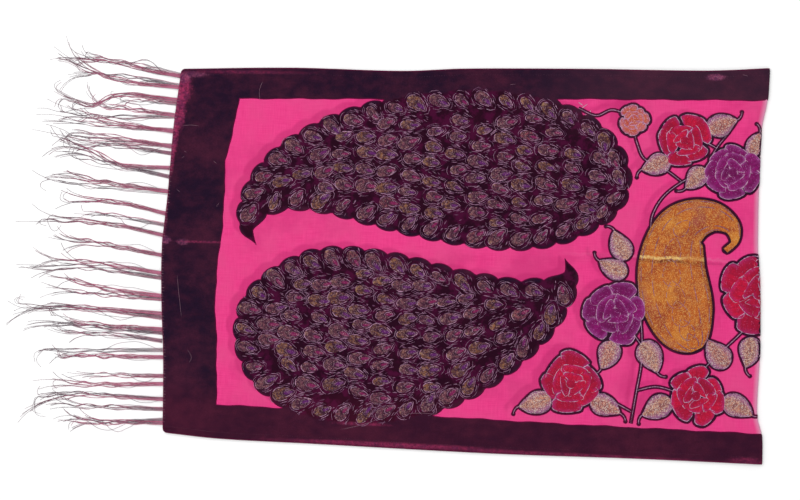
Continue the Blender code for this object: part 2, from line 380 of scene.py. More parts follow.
def newGroup(name, inputs, outputs):
    # inputs: starting value, or None for a colour. outputs: the kind of each
    tree = bpy.data.node_groups.new(name, "ShaderNodeTree")
    for label, value in inputs.items():
        kind = "Color" if value is None else "Vector" if isinstance(value, tuple) else "Float"
        socket = tree.interface.new_socket(label, in_out="INPUT", socket_type="NodeSocket" + kind)
        if value is not None:
            socket.default_value = value
    for label, kind in outputs.items():
        tree.interface.new_socket(label, in_out="OUTPUT", socket_type="NodeSocket" + kind)
    return tree, tree.nodes.new("NodeGroupInput").outputs, tree.nodes.new("NodeGroupOutput")


def spotAt(x, y):
    return ((x + shift[0]) * mm, (y + shift[1]) * mm, 0.0)


lightGain = 0.80    # the lamps brighten a white surface past 1, so the dyes are a little darker
upperFrom = 0.0016  # the upper half lies higher than this, in metres: wear shows on it alone


def dye(r, g, b):
    def linear(c):
        c /= 255
        return (c / 12.92 if c <= 0.04045 else ((c + 0.055) / 1.055) ** 2.4) * lightGain
    return (linear(r), linear(g), linear(b), 1.0)


# noises: scale, detail and roughness
napLook = {
    "stretch": (1.1, 1.5, 1.0),
    "hand": (9.0, 3.0, 0.5),
    "fingertip": (55.0, 3.0, 0.6),
    "tuft": (900.0, 2.0, 0.7),
    "fibre": (3200.0, 1.0, 0.6),
    "speck": (0.78, 1.25),   # darkest and lightest tufts
}


def napGroup():
    # pile that leans one way and another: tone over a hand's width, over a fingertip, and per tuft
    tree, ins, outs = newGroup(
        "velvetNap",
        {"Color": None, "Brushed Color": None, "Amount": 0.5},
        {"Color": "Color", "Height": "Float"},
    )
    place = placeOn(tree)
    slanting = stretched(tree, place, napLook["stretch"])
    hand, fingertip = (noiseAt(tree, slanting, *napLook[key]) for key in ("hand", "fingertip"))
    tuft, fibre = (noiseAt(tree, place, *napLook[key]) for key in ("tuft", "fibre"))
    lean = ramp(tree, weighed(tree, hand, 0.55, fingertip, 0.45), 0.36, 0.72)
    color = blendColors(tree, times(tree, lean, ins["Amount"]), ins["Color"], ins["Brushed Color"])
    speck = ramp(tree, tuft, 0.30, 0.72, napLook["speck"])
    fillInputs(tree, outs, {
        "Color": vectorCalc(tree, "SCALE", {0: color, "Scale": speck})[0],
        "Height": weighed(tree, tuft, 0.6, fibre, 0.4),
    })
    return tree


def wearGroup():
    # one rubbed or crushed place: an uneven oval round a centre, in metres
    tree, ins, outs = newGroup(
        "rubbedPlace",
        {
            "Color": None, "Rubbed Color": None, "Second Color": None, "Centre": (0.0, 0.0, 0.0),
            "Reach": (0.02, 0.02, 1.0), "Amount": 0.6, "Grain": 140.0, "Softness": 0.3,
        },
        {"Color": "Color"},
    )
    place = placeOn(tree)
    offset = vectorCalc(tree, "SUBTRACT", {0: place, 1: ins["Centre"]})[0]
    flat = vectorCalc(tree, "MULTIPLY", {0: offset, 1: (1.0, 1.0, 0.0)})[0]
    sized = vectorCalc(tree, "DIVIDE", {0: flat, 1: ins["Reach"]})[0]
    away = vectorCalc(tree, "LENGTH", {0: sized})["Value"]
    crumb = noiseAt(tree, place, ins["Grain"], 6.0, 0.80)
    wobbly = plus(tree, away, times(tree, minus(tree, crumb, 0.5), 1.9))
    near = ramp(tree, wobbly, plus(tree, 1.0, ins["Softness"]), minus(tree, 1.0, ins["Softness"]))
    patchy = patches(tree, place, (300.0, 5.0, 0.85), 0.40, 0.60, (0.30, 1.0))
    onTop = calc(tree, "GREATER_THAN", axesOf(tree, place)["Z"], upperFrom)
    tint = patches(tree, place, (130.0, 4.0, 0.7), 0.42, 0.60)
    worn = blendColors(tree, tint, ins["Rubbed Color"], ins["Second Color"])
    mask = times(tree, near, patchy, ins["Amount"], onTop)
    fillInputs(tree, outs, {"Color": blendColors(tree, mask, ins["Color"], worn)})
    return tree


foldMarkShape = {
    "from": (560, 7),
    "to": (806, 2),
    "comesIn": (-0.04, 0.09),          # where along it the mark starts and is full, in metres
    "wander": 0.011,
    # painted shade of the hollow and painted highlight of the ridge: middle, half width at full strength and
    # where it ends, in metres across the mark
    "Hollow Shade": (-0.0032, 0.0004, 0.0030),
    "Ridge Highlight": (0.0012, 0.0004, 0.0034),
}


def foldMarkGroup():
    # the pressed fold along the middle: a painted highlight on its ridge and painted shade in the hollow
    # beside it
    shape = foldMarkShape
    tree, ins, outs = newGroup(
        "foldMark",
        {"Color": None, "Ridge Highlight": None, "Hollow Shade": None, "Amount": 0.6},
        {"Color": "Color"},
    )
    place = placeOn(tree)
    x, y, z = axesOf(tree, place)
    (x0, y0, _), (x1, y1, _) = spotAt(*shape["from"]), spotAt(*shape["to"])
    slope = (y1 - y0) / (x1 - x0)
    straight = plus(tree, times(tree, x, slope), y0 - slope * x0)
    wobble = times(tree, minus(tree, noiseAt(tree, place, 48.0, 5.0, 0.75), 0.5), shape["wander"])
    away = plus(tree, minus(tree, y, straight), wobble)
    grain = patches(tree, place, (320.0, 4.0, 0.8), 0.38, 0.58, (0.2, 1.0))
    strong = patches(tree, place, (33.0, 2.0, 0.5), 0.36, 0.60, (0.30, 1.0))
    along = ramp(tree, x, x0 + shape["comesIn"][0], x0 + shape["comesIn"][1])
    onTop = calc(tree, "GREATER_THAN", z, upperFrom)
    reach = times(tree, along, onTop, grain, strong, ins["Amount"])
    color = ins["Color"]
    # paint the shade of the hollow, then the highlight of the ridge
    for key in ("Hollow Shade", "Ridge Highlight"):
        middle, full, end = shape[key]
        near = ramp(tree, calc(tree, "ABSOLUTE", minus(tree, away, middle)), end, full)
        color = blendColors(tree, times(tree, near, reach), color, ins[key])
    fillInputs(tree, outs, {"Color": color})
    return tree


def glitterGroup():
    # fine glued glitter: bright specks, each with its own tone
    tree, ins, outs = newGroup(
        "glitterDust",
        {"Color": None, "Glitter Color": None, "Density": 0.4, "Grain": 1400.0},
        {"Color": "Color", "Mask": "Float", "Height": "Float"},
    )
    place = placeOn(tree)
    cells = addNode(tree, "ShaderNodeTexVoronoi", {"Vector": place, "Scale": ins["Grain"]}).outputs
    tone = addNode(tree, "ShaderNodeSeparateColor", {0: cells["Color"]}).outputs[0]
    chosen = weighed(tree, tone, 0.6, noiseAt(tree, place, 260.0, 3.0, 0.7), 0.55)
    above = minus(tree, chosen, minus(tree, 1.0, ins["Density"]))
    mask = times(tree, ramp(tree, above, 0.0, 0.08), ramp(tree, cells["Distance"], 0.62, 0.30))
    fillInputs(tree, outs, {
        "Color": blendColors(tree, mask, ins["Color"], ins["Glitter Color"]),
        "Mask": mask,
        "Height": times(tree, mask, tone),
    })
    return tree


def weaveGroup():
    # plain weave of fine threads, with a slub here and there
    tree, ins, outs = newGroup("plainWeave", {"Threads": 900.0}, {"Height": "Float", "Tone": "Float"})
    place = placeOn(tree)
    x, y = axesOf(tree, place)[:2]
    ridges, slubs = [], []
    for across, stretch in ((x, (40.0, 900.0, 1.0)), (y, (900.0, 40.0, 1.0))):
        turn = times(tree, across, times(tree, ins["Threads"], 2 * math.pi))
        ridges.append(calc(tree, "SINE", turn))
        slubs.append(noiseAt(tree, stretched(tree, place, stretch), 1.0))
    fillInputs(tree, outs, {
        "Height": ramp(tree, plus(tree, *ridges), -2.0, 2.0),
        "Tone": times(tree, plus(tree, *slubs), 0.5),
    })
    return tree


nap = napGroup()
rubbed = wearGroup()
foldMark = foldMarkGroup()
glitter = glitterGroup()
weave = weaveGroup()


def newMaterial(name, roughness, sheen=0.0, sheenTint=(1, 1, 1, 1), specular=0.5):
    material = bpy.data.materials.new(name)
    material.use_nodes = True
    shader = material.node_tree.nodes["Principled BSDF"]
    fillInputs(material.node_tree, shader, {
        "Roughness": roughness, "Specular IOR Level": specular,
        "Sheen Weight": sheen, "Sheen Roughness": 0.45, "Sheen Tint": sheenTint,
    })
    return material, material.node_tree, shader


def addBump(tree, shader, height, strength, distance):
    values = {"Height": height, "Strength": strength, "Distance": distance}
    fillInputs(tree, shader, {"Normal": addNode(tree, "ShaderNodeBump", values).outputs["Normal"]})


velvetLook = {
    "pile": dye(32, 15, 38),
    "brushed": dye(74, 28, 50),
    "sheen": dye(150, 60, 110),
    "edge": dye(108, 6, 60),      # thin pile at the edge of each raised shape
    "field": dye(38, 2, 22),      # ground between the seeds
    "glow": dye(88, 14, 60),      # and its lighter patches
    "warm": dye(104, 26, 50),     # the near border has a redder cast
    "dusty": dye(104, 60, 78),    # the far border's last part is greyer
    "rubbed": (dye(170, 54, 98), dye(130, 46, 88)),
    "bare": (dye(166, 84, 122), dye(112, 56, 96)),
    # where each cast starts and where it is full
    "warmPlaces": ((0, -170), (0, -226)),
    "dustyPlaces": ((430, 150), (640, 222)),
}
# x, y, reach along, reach across, amount, grain, softness, colour
rubbedPlaces = [
    (5, 226, 13, 20, 0.92, 190, 0.30, "rubbed"),
    (1, 198, 10, 30, 0.92, 190, 0.30, "rubbed"),
    (-4, 160, 6, 26, 0.85, 230, 0.35, "rubbed"),
    (-6, 126, 4, 20, 0.6, 260, 0.4, "rubbed"),
    (16, 247, 24, 4, 0.55, 330, 0.4, "bare"),
    (8, 241, 8, 6, 0.5, 420, 0.4, "bare"),
    (96, 251, 74, 2.4, 0.42, 150, 0.7, "rubbed"),
    (-8, 12, 7, 5, 0.85, 330, 0.3, "bare"),
    (17, 10, 8, 4, 0.5, 330, 0.4, "bare"),
    (44, 10.5, 34, 1.5, 0.5, 210, 0.5, "rubbed"),
    (-9, -198, 5, 60, 0.55, 330, 0.5, "rubbed"),
    (-12, 70, 4, 50, 0.45, 330, 0.5, "rubbed"),
    (316, -258.5, 130, 3.0, 0.75, 150, 0.6, "rubbed"),
    (560, -261, 160, 2.4, 0.5, 150, 0.6, "rubbed"),
    (278, -232, 34, 2.4, 0.5, 210, 0.5, "rubbed"),
    (790, -258, 20, 4, 0.45, 210, 0.6, "rubbed"),
    (741, 250, 12, 4, 0.7, 330, 0.4, "bare"),
]


def velvetMaterial():
    look = velvetLook
    material, tree, shader = newMaterial("velvetPile", 0.9, 0.22, look["sheen"], 0.06)
    napped = useGroup(tree, nap, {"Color": look["pile"], "Brushed Color": look["brushed"], "Amount": 0.85})
    place = placeOn(tree)
    x, y, _ = axesOf(tree, place)
    field = attribute(tree, "field")
    (_, nearFrom, _), (_, nearTo, _) = (spotAt(*spot) for spot in look["warmPlaces"])
    (dustyFrom, farFrom, _), (dustyTo, farTo, _) = (spotAt(*spot) for spot in look["dustyPlaces"])
    dusty = times(tree, ramp(tree, x, dustyFrom, dustyTo, (0.0, 0.20)), ramp(tree, y, farFrom, farTo))
    color = layered(
        tree, napped["Color"],
        (times(tree, field, 0.8), look["field"]),
        (times(tree, patches(tree, place, (75.0, 4.0, 0.65), 0.44, 0.62), field, 0.55), look["glow"]),
        (ramp(tree, y, nearFrom, nearTo, (0.0, 0.18)), look["warm"]),
        (dusty, look["dusty"]),
        (ramp(tree, attribute(tree, "edge"), 2.2, 0.2, (0.0, 0.85)), look["edge"]),
    )
    for x, y, along, across, amount, grain, soft, tone in rubbedPlaces:
        color = useGroup(tree, rubbed, {
            "Color": color, "Rubbed Color": look[tone][0], "Second Color": look[tone][1],
            "Centre": spotAt(x, y), "Reach": (along * mm, across * mm, 1.0),
            "Amount": amount, "Grain": float(grain), "Softness": soft,
        })["Color"]
    fillInputs(tree, shader, {"Base Color": color})
    addBump(tree, shader, napped["Height"], 0.5, 0.0005)
    return material


# In these, a row of clouds is noise (scale, detail, roughness), its limits, amount and colour
sheerLook = {
    "sheen": dye(255, 120, 180),
    "threads": 1300.0,            # threads in a metre
    "thin": dye(256, 60, 145),
    "slub": dye(270, 79, 162),
    # lighter and darker clouds: uneven tone of the sheer, and partly painted light and shade of its soft
    # folds
    "clouds": [
        ((16.0, 4.0, 0.6), (0.35, 0.7), 0.60, dye(252, 88, 154)),
        ((7.0, 5.0, 0.65), (0.48, 0.66), 0.55, dye(230, 52, 132)),
    ],
    "below": dye(206, 34, 112),   # painted shade where the lower half's dark pile shows through the sheer
    # painted highlight on the middle fold's ridge and painted shade in its hollow, and how strong they are
    "ridge": dye(255, 150, 196),
    "hollow": dye(176, 30, 96),
    "foldMark": 0.38,
    "rim": dye(240, 190, 220),    # painted highlight: light coming through the sheer at the crest of the fold
    "cover": 0.84,
    "openness": 0.16,
}


def sheerMaterial():
    look = sheerLook
    material, tree, shader = newMaterial("sheerGround", 0.7, 0.10, look["sheen"], 0.12)
    woven = useGroup(tree, weave, {"Threads": look["threads"]})
    color = blendColors(tree, ramp(tree, woven["Tone"], 0.30, 0.70), look["thin"], look["slub"])
    # the clouds are uneven tone, and partly painted light and shade of soft folds
    color = clouded(tree, placeOn(tree), color, look["clouds"])
    # painted shade of the lower half's pile seen through the sheer, from the distance held in under
    below = ramp(tree, attribute(tree, "under"), 2.5, -2.5, (0.0, 0.40))
    # painted highlight and painted shade of the middle fold
    marked = useGroup(tree, foldMark, {
        "Color": blendColors(tree, below, color, look["below"]), "Ridge Highlight": look["ridge"],
        "Hollow Shade": look["hollow"], "Amount": look["foldMark"],
    })
    # painted highlight along the crest of the fold, where light shows through the sheer
    rim = times(tree, attribute(tree, "rim"), 0.75)
    fillInputs(tree, shader, {
        "Base Color": blendColors(tree, rim, marked["Color"], look["rim"]),
        "Alpha": minus(tree, look["cover"], times(tree, woven["Height"], look["openness"])),
    })
    addBump(tree, shader, woven["Height"], 0.35, 0.0002)
    return material


# Printed pile with glitter: local holds the run along a shape, the place across it and its own number
def fleckedMaterial(name, look):
    material, tree, shader = newMaterial(name, 0.75, 0.10, dye(200, 160, 190), 0.16)
    napped = useGroup(tree, nap, {"Color": look["base"], "Brushed Color": look["second"], "Amount": 1.0})
    return material, tree, shader, napped, localOf(tree)


def finishFlecked(tree, shader, color, look, height):
    dust = useGroup(tree, glitter, {
        "Color": color, "Glitter Color": look["flecks"], "Density": look["density"], "Grain": look["grain"]})
    fillInputs(tree, shader, {
        "Base Color": dust["Color"],
        "Roughness": ramp(tree, dust["Mask"], 0.0, 1.0, (0.8, 0.38)),
        "Metallic": times(tree, dust["Mask"], 0.45),
    })
    addBump(tree, shader, plus(tree, height, dust["Height"]), 0.5, 0.0004)


seedLook = {
    "base": dye(110, 68, 46),
    "second": dye(162, 108, 74),
    "lilac": dye(116, 56, 92),    # most seeds
    "salmon": dye(146, 60, 76),   # a few
    "cream": dye(188, 150, 112),  # the blunt end
    "mottle": [((270.0, 5.0, 0.80), (0.40, 0.54), 0.95, dye(58, 14, 44))],
    "plum": dye(76, 16, 58),      # the pointed end
    "socket": dye(42, 6, 34),     # dark oval round the eye
    "eyes": (dye(96, 28, 104), dye(130, 24, 84)),
    "eyeAt": 0.66,
    "socketReach": (0.27, 0.66),
    "eyeReach": (0.17, 0.42),
    "rim": dye(44, 8, 32),
    "flecks": dye(200, 160, 162),
    "density": 0.26,
    "grain": 1300.0,
}


def seedMaterial():
    # khaki at the blunt end, plum towards the point, with a violet or magenta eye
    look = seedLook
    material, tree, shader, napped, (u, v, own) = fleckedMaterial("seedPrint", look)
    place = placeOn(tree)

    def ovalAway(reach):
        a = calc(tree, "DIVIDE", minus(tree, u, look["eyeAt"]), reach[0])
        b = calc(tree, "DIVIDE", v, reach[1])
        return calc(tree, "SQRT", plus(tree, times(tree, a, a), times(tree, b, b)))

    cream = patches(tree, place, (150.0, 3.0, 0.6), 0.46, 0.60, (0.0, 0.6))
    color = layered(
        tree, napped["Color"],
        (ramp(tree, own, 0.30, 0.36, (0.0, 0.65)), look["lilac"]),
        (ramp(tree, own, 0.94, 0.96, (0.0, 0.5)), look["salmon"]),
        (times(tree, ramp(tree, u, 0.42, 0.08), cream), look["cream"]),
    )
    color = layered(
        tree, clouded(tree, place, color, look["mottle"]),
        (ramp(tree, u, 0.40, 0.80, (0.0, 0.85)), look["plum"]),
        (ramp(tree, ovalAway(look["socketReach"]), 1.15, 0.85, (0.0, 0.75)), look["socket"]),
        (ramp(tree, ovalAway(look["eyeReach"]), 1.2, 0.6, (0.0, 0.85)),
         blendColors(tree, ramp(tree, own, 0.50, 0.56), *look["eyes"])),
        (ramp(tree, calc(tree, "ABSOLUTE", v), 0.78, 1.0, (0.0, 0.7)), look["rim"]),
    )
    finishFlecked(tree, shader, color, look, napped["Height"])
    return material


leafLook = {
    "base": dye(194, 120, 102),
    "second": dye(220, 148, 124),
    "khaki": dye(208, 158, 126),
    "mottle": [((340.0, 5.0, 0.85), (0.41, 0.55), 0.8, dye(112, 56, 76))],
    "lilac": dye(158, 92, 152),
    "midrib": dye(116, 58, 82),
    "rim": dye(84, 24, 66),
    "flecks": dye(232, 212, 200),
    "density": 0.42,
    "grain": 1000.0,
}


def leafMaterial():
    # beige glitter that turns lilac towards the rim, more so on one side
    look = leafLook
    material, tree, shader, napped, (_, v, own) = fleckedMaterial("leafPrint", look)
    side = calc(tree, "ABSOLUTE", v)
    nearRim = calc(tree, "MAXIMUM", v, times(tree, side, 0.85))
    khaki = ramp(tree, own, 0.35, 0.8, (0.0, 0.6))
    color = blendColors(tree, khaki, napped["Color"], look["khaki"])
    color = layered(
        tree, clouded(tree, placeOn(tree), color, look["mottle"]),
        (ramp(tree, nearRim, 0.25, 1.0, (0.0, 0.8)), look["lilac"]),
        (ramp(tree, side, 0.10, 0.02, (0.0, 0.30)), look["midrib"]),
        (ramp(tree, side, 0.92, 1.0, (0.0, 0.7)), look["rim"]),
    )
    finishFlecked(tree, shader, color, look, napped["Height"])
    return material


petalLooks = {
    "red": {
        "deep": dye(132, 4, 48), "middle": dye(198, 12, 58), "rim": dye(180, 46, 124), "rimFrom": 0.62,
        "flecks": dye(226, 96, 154), "density": 0.18,
    },
    "purple": {
        "deep": dye(88, 2, 64), "middle": dye(138, 12, 104), "rim": dye(170, 82, 160), "rimFrom": 0.62,
        "flecks": dye(206, 128, 200), "density": 0.20,
    },
    "apricot": {
        "deep": dye(176, 58, 36), "middle": dye(204, 104, 74), "rim": dye(176, 108, 162), "rimFrom": 0.45,
        "flecks": dye(240, 206, 206), "density": 0.24,
    },
}


def petalMaterial(name, look):
    # deep at the root and in streaks, and crumbly with glitter towards the rim
    look = {**look, "base": look["middle"], "second": look["middle"], "grain": 1300.0}
    material, tree, shader, napped, (u, v, own) = fleckedMaterial(name, look)
    place = placeOn(tree)
    streak = calc(tree, "SINE", times(tree, v, plus(tree, u, 0.35), 17.0))
    nearRim = calc(tree, "MAXIMUM", calc(tree, "ABSOLUTE", v), u)
    crumbs = patches(tree, place, (520.0, 4.0, 0.8), 0.38, 0.56, (0.35, 1.0))
    color = layered(
        tree, napped["Color"],
        (ramp(tree, own, 0.2, 0.9, (0.0, 0.5)), look["deep"]),
        (ramp(tree, streak, 0.2, 1.0, (0.0, 0.30)), look["deep"]),
        (ramp(tree, u, 0.50, 0.05, (0.0, 0.75)), look["deep"]),
        (patches(tree, place, (45.0, 4.0, 0.7), 0.42, 0.64, (0.0, 0.5)), look["deep"]),
        (times(tree, ramp(tree, nearRim, look["rimFrom"], 1.0, (0.0, 0.8)), crumbs), look["rim"]),
    )
    finishFlecked(tree, shader, color, look, napped["Height"])
    return material


goldLook = {
    "base": dye(168, 68, 22),
    "second": dye(204, 102, 30),
    "streaks": [((1.0, 5.0, 0.75), (0.38, 0.66), 0.75, dye(214, 126, 44))],
    "streakStretch": (300.0, 60.0, 1.0),
    "clouds": [
        ((380.0, 4.0, 0.8), (0.44, 0.60), 0.50, dye(156, 68, 44)),
        ((17.0, 3.0, 0.6), (0.50, 0.62), 0.50, dye(224, 144, 50)),
        ((29.0, 5.0, 0.7), (0.50, 0.62), 0.75, dye(150, 54, 38)),
        ((24.0, 3.0, 0.6), (0.58, 0.70), 0.50, dye(172, 92, 84)),
    ],
    "rim": dye(128, 54, 34),
    # painted highlight on the middle fold's ridge and painted shade in its hollow
    "ridge": dye(246, 212, 136),
    "hollow": dye(104, 40, 26),
    "flecks": dye(236, 190, 112),
    "density": 0.38,
    "grain": 1300.0,
}


def goldMaterial():
    # streaked gold glitter, redder in patches and pinker where it is thin
    look = goldLook
    material, tree, shader, napped, (_, v, _) = fleckedMaterial("goldPrint", look)
    place = placeOn(tree)
    streaky = stretched(tree, place, look["streakStretch"])
    color = clouded(tree, streaky, napped["Color"], look["streaks"])
    color = clouded(tree, place, color, look["clouds"])
    rim = ramp(tree, calc(tree, "ABSOLUTE", v), 0.80, 1.0, (0.0, 0.6))
    # the middle fold as a painted highlight and painted shade
    marked = useGroup(tree, foldMark, {
        "Color": blendColors(tree, rim, color, look["rim"]), "Ridge Highlight": look["ridge"],
        "Hollow Shade": look["hollow"], "Amount": 1.0,
    })
    finishFlecked(tree, shader, marked["Color"], look, napped["Height"])
    return material


lineLook = {
    "dull": dye(110, 46, 98),
    "bright": dye(226, 170, 206),
    "worn": [((420.0, 3.0, 0.7), (0.40, 0.64), 0.80, dye(84, 22, 70))],
    "flecks": dye(232, 212, 232),
    "density": 0.26,
    "grain": 1700.0,
}


def lineMaterial():
    # the second local number is each line's own tone
    look = lineLook
    material, tree, shader = newMaterial("silverLine", 0.45)
    color = blendColors(tree, localOf(tree)[1], look["dull"], look["bright"])
    dust = useGroup(tree, glitter, {
        "Color": clouded(tree, placeOn(tree), color, look["worn"]), "Glitter Color": look["flecks"],
        "Density": look["density"], "Grain": look["grain"],
    })
    fillInputs(tree, shader, {"Base Color": dust["Color"], "Metallic": times(tree, dust["Mask"], 0.5)})
    addBump(tree, shader, dust["Height"], 0.5, 0.0003)
    return material


threadLook = {
    "sheen": dye(220, 160, 190),
    "crimson": (dye(172, 54, 98), dye(226, 132, 164)),
    "grey": (dye(86, 66, 80), dye(142, 118, 132)),
    # painted shade in the grooves of the twist, in bands along each thread
    "twist": dye(74, 26, 48),
    "twistRate": 5.2,             # radians in a millimetre
    "fade": dye(210, 122, 156),
    "fadeRate": 0.11,
    "bleached": dye(98, 74, 86),  # the far ends have lost their dye
    "bleachedFrom": 105.0,        # millimetres along a thread
    "bleachedTo": 190.0,
}


def threadMaterial():
    # local holds the run along a thread in mm, its tone and its own random number
    look = threadLook
    material, tree, shader = newMaterial("fringeThread", 0.5, 0.25, look["sheen"], 0.35)
    run, tone, own = localOf(tree)
    crimson, grey = (blendColors(tree, own, *look[key]) for key in ("crimson", "grey"))
    # bands along the twist: painted shade in its grooves, and the bump
    twist = ramp(tree, calc(tree, "SINE", times(tree, run, look["twistRate"])), -1.0, 1.0)
    fade = calc(tree, "SINE", times(tree, run, look["fadeRate"]))
    color = layered(
        tree, blendColors(tree, tone, crimson, grey),
        (times(tree, twist, 0.30), look["twist"]),
        (ramp(tree, fade, 0.1, 1.0, (0.0, 0.28)), look["fade"]),
        (ramp(tree, run, look["bleachedFrom"], look["bleachedTo"], (0.0, 0.75)), look["bleached"]),
    )
    fillInputs(tree, shader, {"Base Color": color})
    addBump(tree, shader, twist, 0.4, 0.0001)
    return material


seamLook = {
    "sheen": dye(190, 120, 160),
    "plum": (dye(52, 16, 42), dye(92, 34, 66)),
    "pale": (dye(176, 120, 146), dye(240, 206, 222)),
}


def seamMaterial():
    look = seamLook
    material, tree, shader = newMaterial("seamThread", 0.6, 0.2, look["sheen"], 0.3)
    ply = patches(tree, placeOn(tree), (2600.0, 2.0), 0.35, 0.65)
    plum, pale = (blendColors(tree, ply, *look[key]) for key in ("plum", "pale"))
    fillInputs(tree, shader, {"Base Color": blendColors(tree, localOf(tree)[1], plum, pale)})
    addBump(tree, shader, ply, 0.5, 0.0002)
    return material


looks = {
    "velvet": velvetMaterial(),
    "sheer": sheerMaterial(),
    "seed": seedMaterial(),
    "leaf": leafMaterial(),
    **{name: petalMaterial(name + "Print", look) for name, look in petalLooks.items()},
    "gold": goldMaterial(),
    "line": lineMaterial(),
    "thread": threadMaterial(),
    "seam": seamMaterial(),
}
print("materials made", len(looks))


# Curves and outlines, flat on the unrolled cloth
def runAlong(path):
    # length from the start to each point
    return np.concatenate([[0], np.cumsum(np.linalg.norm(np.diff(path, axis=0), axis=1))])


def readRows(at, known, rows):
    return np.column_stack([np.interp(at, known, rows[:, k]) for k in range(rows.shape[1])])


def curveThrough(points, step=4.0):
    # a smooth curve through all the points, in even steps
    rows = np.array(points, float)
    rows = np.vstack([2 * rows[0] - rows[1], rows, 2 * rows[-1] - rows[-2]])
    u = np.linspace(0, 1, 24, endpoint=False)[:, None]
    fine = []
    for i in range(1, len(rows) - 2):
        a, b, c, d = rows[i - 1:i + 3]
        square, cube = 2 * a - 5 * b + 4 * c - d, 3 * b - a - 3 * c + d
        fine.append(0.5 * (2 * b + (c - a) * u + square * u**2 + cube * u**3))
    fine = np.vstack([*fine, rows[-2:-1]])
    run = runAlong(fine)
    even = np.linspace(0, run[-1], max(2, int(round(run[-1] / step)) + 1))
    return readRows(even, run, fine)


def unit(rows):
    return rows / (np.linalg.norm(rows, axis=1)[:, None] + 1e-9)


def sideways(path):
    # unit vectors to the left of a path, and along it
    ahead = unit(np.gradient(path, axis=0))
    return np.column_stack([-ahead[:, 1], ahead[:, 0]]), ahead


def evenRing(ring, step):
    closed = np.vstack([ring, ring[:1]])
    run = runAlong(closed)
    even = np.linspace(0, run[-1], max(6, int(round(run[-1] / step))), endpoint=False)
    return readRows(even, run, closed)


def ringOut(ring):
    # unit vectors out of a closed outline
    ahead = unit(np.roll(ring, -1, axis=0) - np.roll(ring, 1, axis=0))
    out = np.column_stack([ahead[:, 1], -ahead[:, 0]])
    area = np.sum(ring[:, 0] * np.roll(ring[:, 1], -1) - np.roll(ring[:, 0], -1) * ring[:, 1])
    return out if area > 0 else -out


def grown(ring, amount, step=2.6):
    ring = evenRing(ring, step)
    return ring + ringOut(ring) * amount


def circle(x, y, radius, count):
    a = np.linspace(0, 2 * math.pi, count, endpoint=False)
    return np.column_stack([x + radius * np.cos(a), y + radius * np.sin(a)])


def lobeCount(ring, lobe):
    return max(3, round(len(ring) * np.linalg.norm(ring[1] - ring[0]) / lobe))


def scallop(ring, lobe, depth, tip):
    # lobes all round, dying out towards the tip
    turn = np.linspace(0, lobeCount(ring, lobe), len(ring), endpoint=False)
    fade = smooth((np.linalg.norm(ring - tip, axis=1) - 6) / 45)
    return ring + ringOut(ring) * (depth * fade * np.abs(np.sin(math.pi * turn)) ** 0.6)[:, None]


def insideRing(points, ring):
    found = np.zeros(len(points), bool)
    low, high = ring.min(0), ring.max(0)
    near = np.where(((points > low) & (points < high)).all(axis=1))[0]
    x, y = points[near, 0][:, None], points[near, 1][:, None]
    a, b = ring, np.roll(ring, -1, axis=0)
    rise = np.where(b[:, 1] == a[:, 1], 1e-12, b[:, 1] - a[:, 1])
    crosses = ((a[:, 1] > y) != (b[:, 1] > y)) & (x < a[:, 0] + (y - a[:, 1]) * (b[:, 0] - a[:, 0]) / rise)
    found[near] = crosses.sum(axis=1) % 2 == 1
    return found


def insideAny(points, rings):
    found = np.zeros(len(points), bool)
    for ring in rings:
        found |= insideRing(points, ring)
    return found


# half widths along a seed, a petal and a leaf, with t from 0 at the root to pi at the tip
bladeForms = {
    "seed": lambda t: np.sin(t) * np.abs(np.cos(t / 2)) ** 0.75,
    "petal": lambda t: np.sin(t) ** 0.9 * np.abs(np.sin(t / 2)) ** 0.8,
    "leaf": lambda t: np.sin(t) ** 1.05 * np.abs(np.cos(t / 2)) ** 0.75,
    "round": np.sin,
}


def bladeShape(x, y, length, width, heading, bend, form, count, ruffle=0.0):
    # a spine and half widths of one shape centred at x, y
    t = np.linspace(0, math.pi, count)
    s = (1 - np.cos(t)) / 2
    c, d = math.cos(heading), math.sin(heading)
    along = (s - 0.5) * length
    across = bend * 4 * s * (1 - s) * length
    spine = np.column_stack([x + along * c - across * d, y + along * d + across * c])
    half = bladeForms[form](t)
    half = 0.5 * width * half / half.max() * (1 + ruffle * np.sin(7 * t + x))
    return spine, np.maximum(half, 0.12)


def shapeRing(spine, half, grow=0.0):
    left, ahead = sideways(spine)
    wide = (half + grow)[:, None]
    return np.vstack([
        spine - left * wide,
        spine[-1:] + ahead[-1:] * grow,
        (spine + left * wide)[::-1],
        spine[:1] - ahead[:1] * grow,
    ])


# What the cloth carries: two scalloped drops full of seeds, a gold drop, flowers, leaves and stems
drops = {
    "near": {
        "spine": [
            (100, -92), (180, -106), (285, -114), (392, -106),
            (482, -80), (532, -50), (554, -22), (547, 2),
        ],
        "halfWidth": 118, "belly": 0.30, "tailing": 1.15, "tipHalf": 0.8,
        "lobe": 31, "lobeDepth": 6, "facing": 1,
    },
    "far": {
        "spine": [
            (628, 96), (556, 110), (455, 121), (345, 126), (240, 122),
            (168, 104), (124, 72), (108, 34), (122, 8),
        ],
        "halfWidth": 106, "belly": 0.30, "tailing": 1.10, "tipHalf": 0.8,
        "lobe": 31, "lobeDepth": 6, "facing": -1,
    },
}
goldDrop = {
    "spine": [
        (724, -116), (704, -76), (690, -24), (690, 14), (700, 44),
        (721, 59), (746, 61), (766, 49), (770, 30), (758, 17),
    ],
    "halfWidth": 46, "belly": 0.28, "tailing": 1.15, "tipHalf": 3.6, "lobe": 16, "lobeDepth": 0.0,
}
# x, y, radius, petals, dye
flowers = [
    (702, 164, 35, 6, "red"),
    (766, 122, 38, 7, "purple"),
    (634, 190, 21, 8, "apricot"),
    (616, -70, 42, 7, "purple"),
    (560, -166, 40, 6, "red"),
    (724, -176, 37, 7, "red"),
    (804, -38, 54, 8, "red"),
]
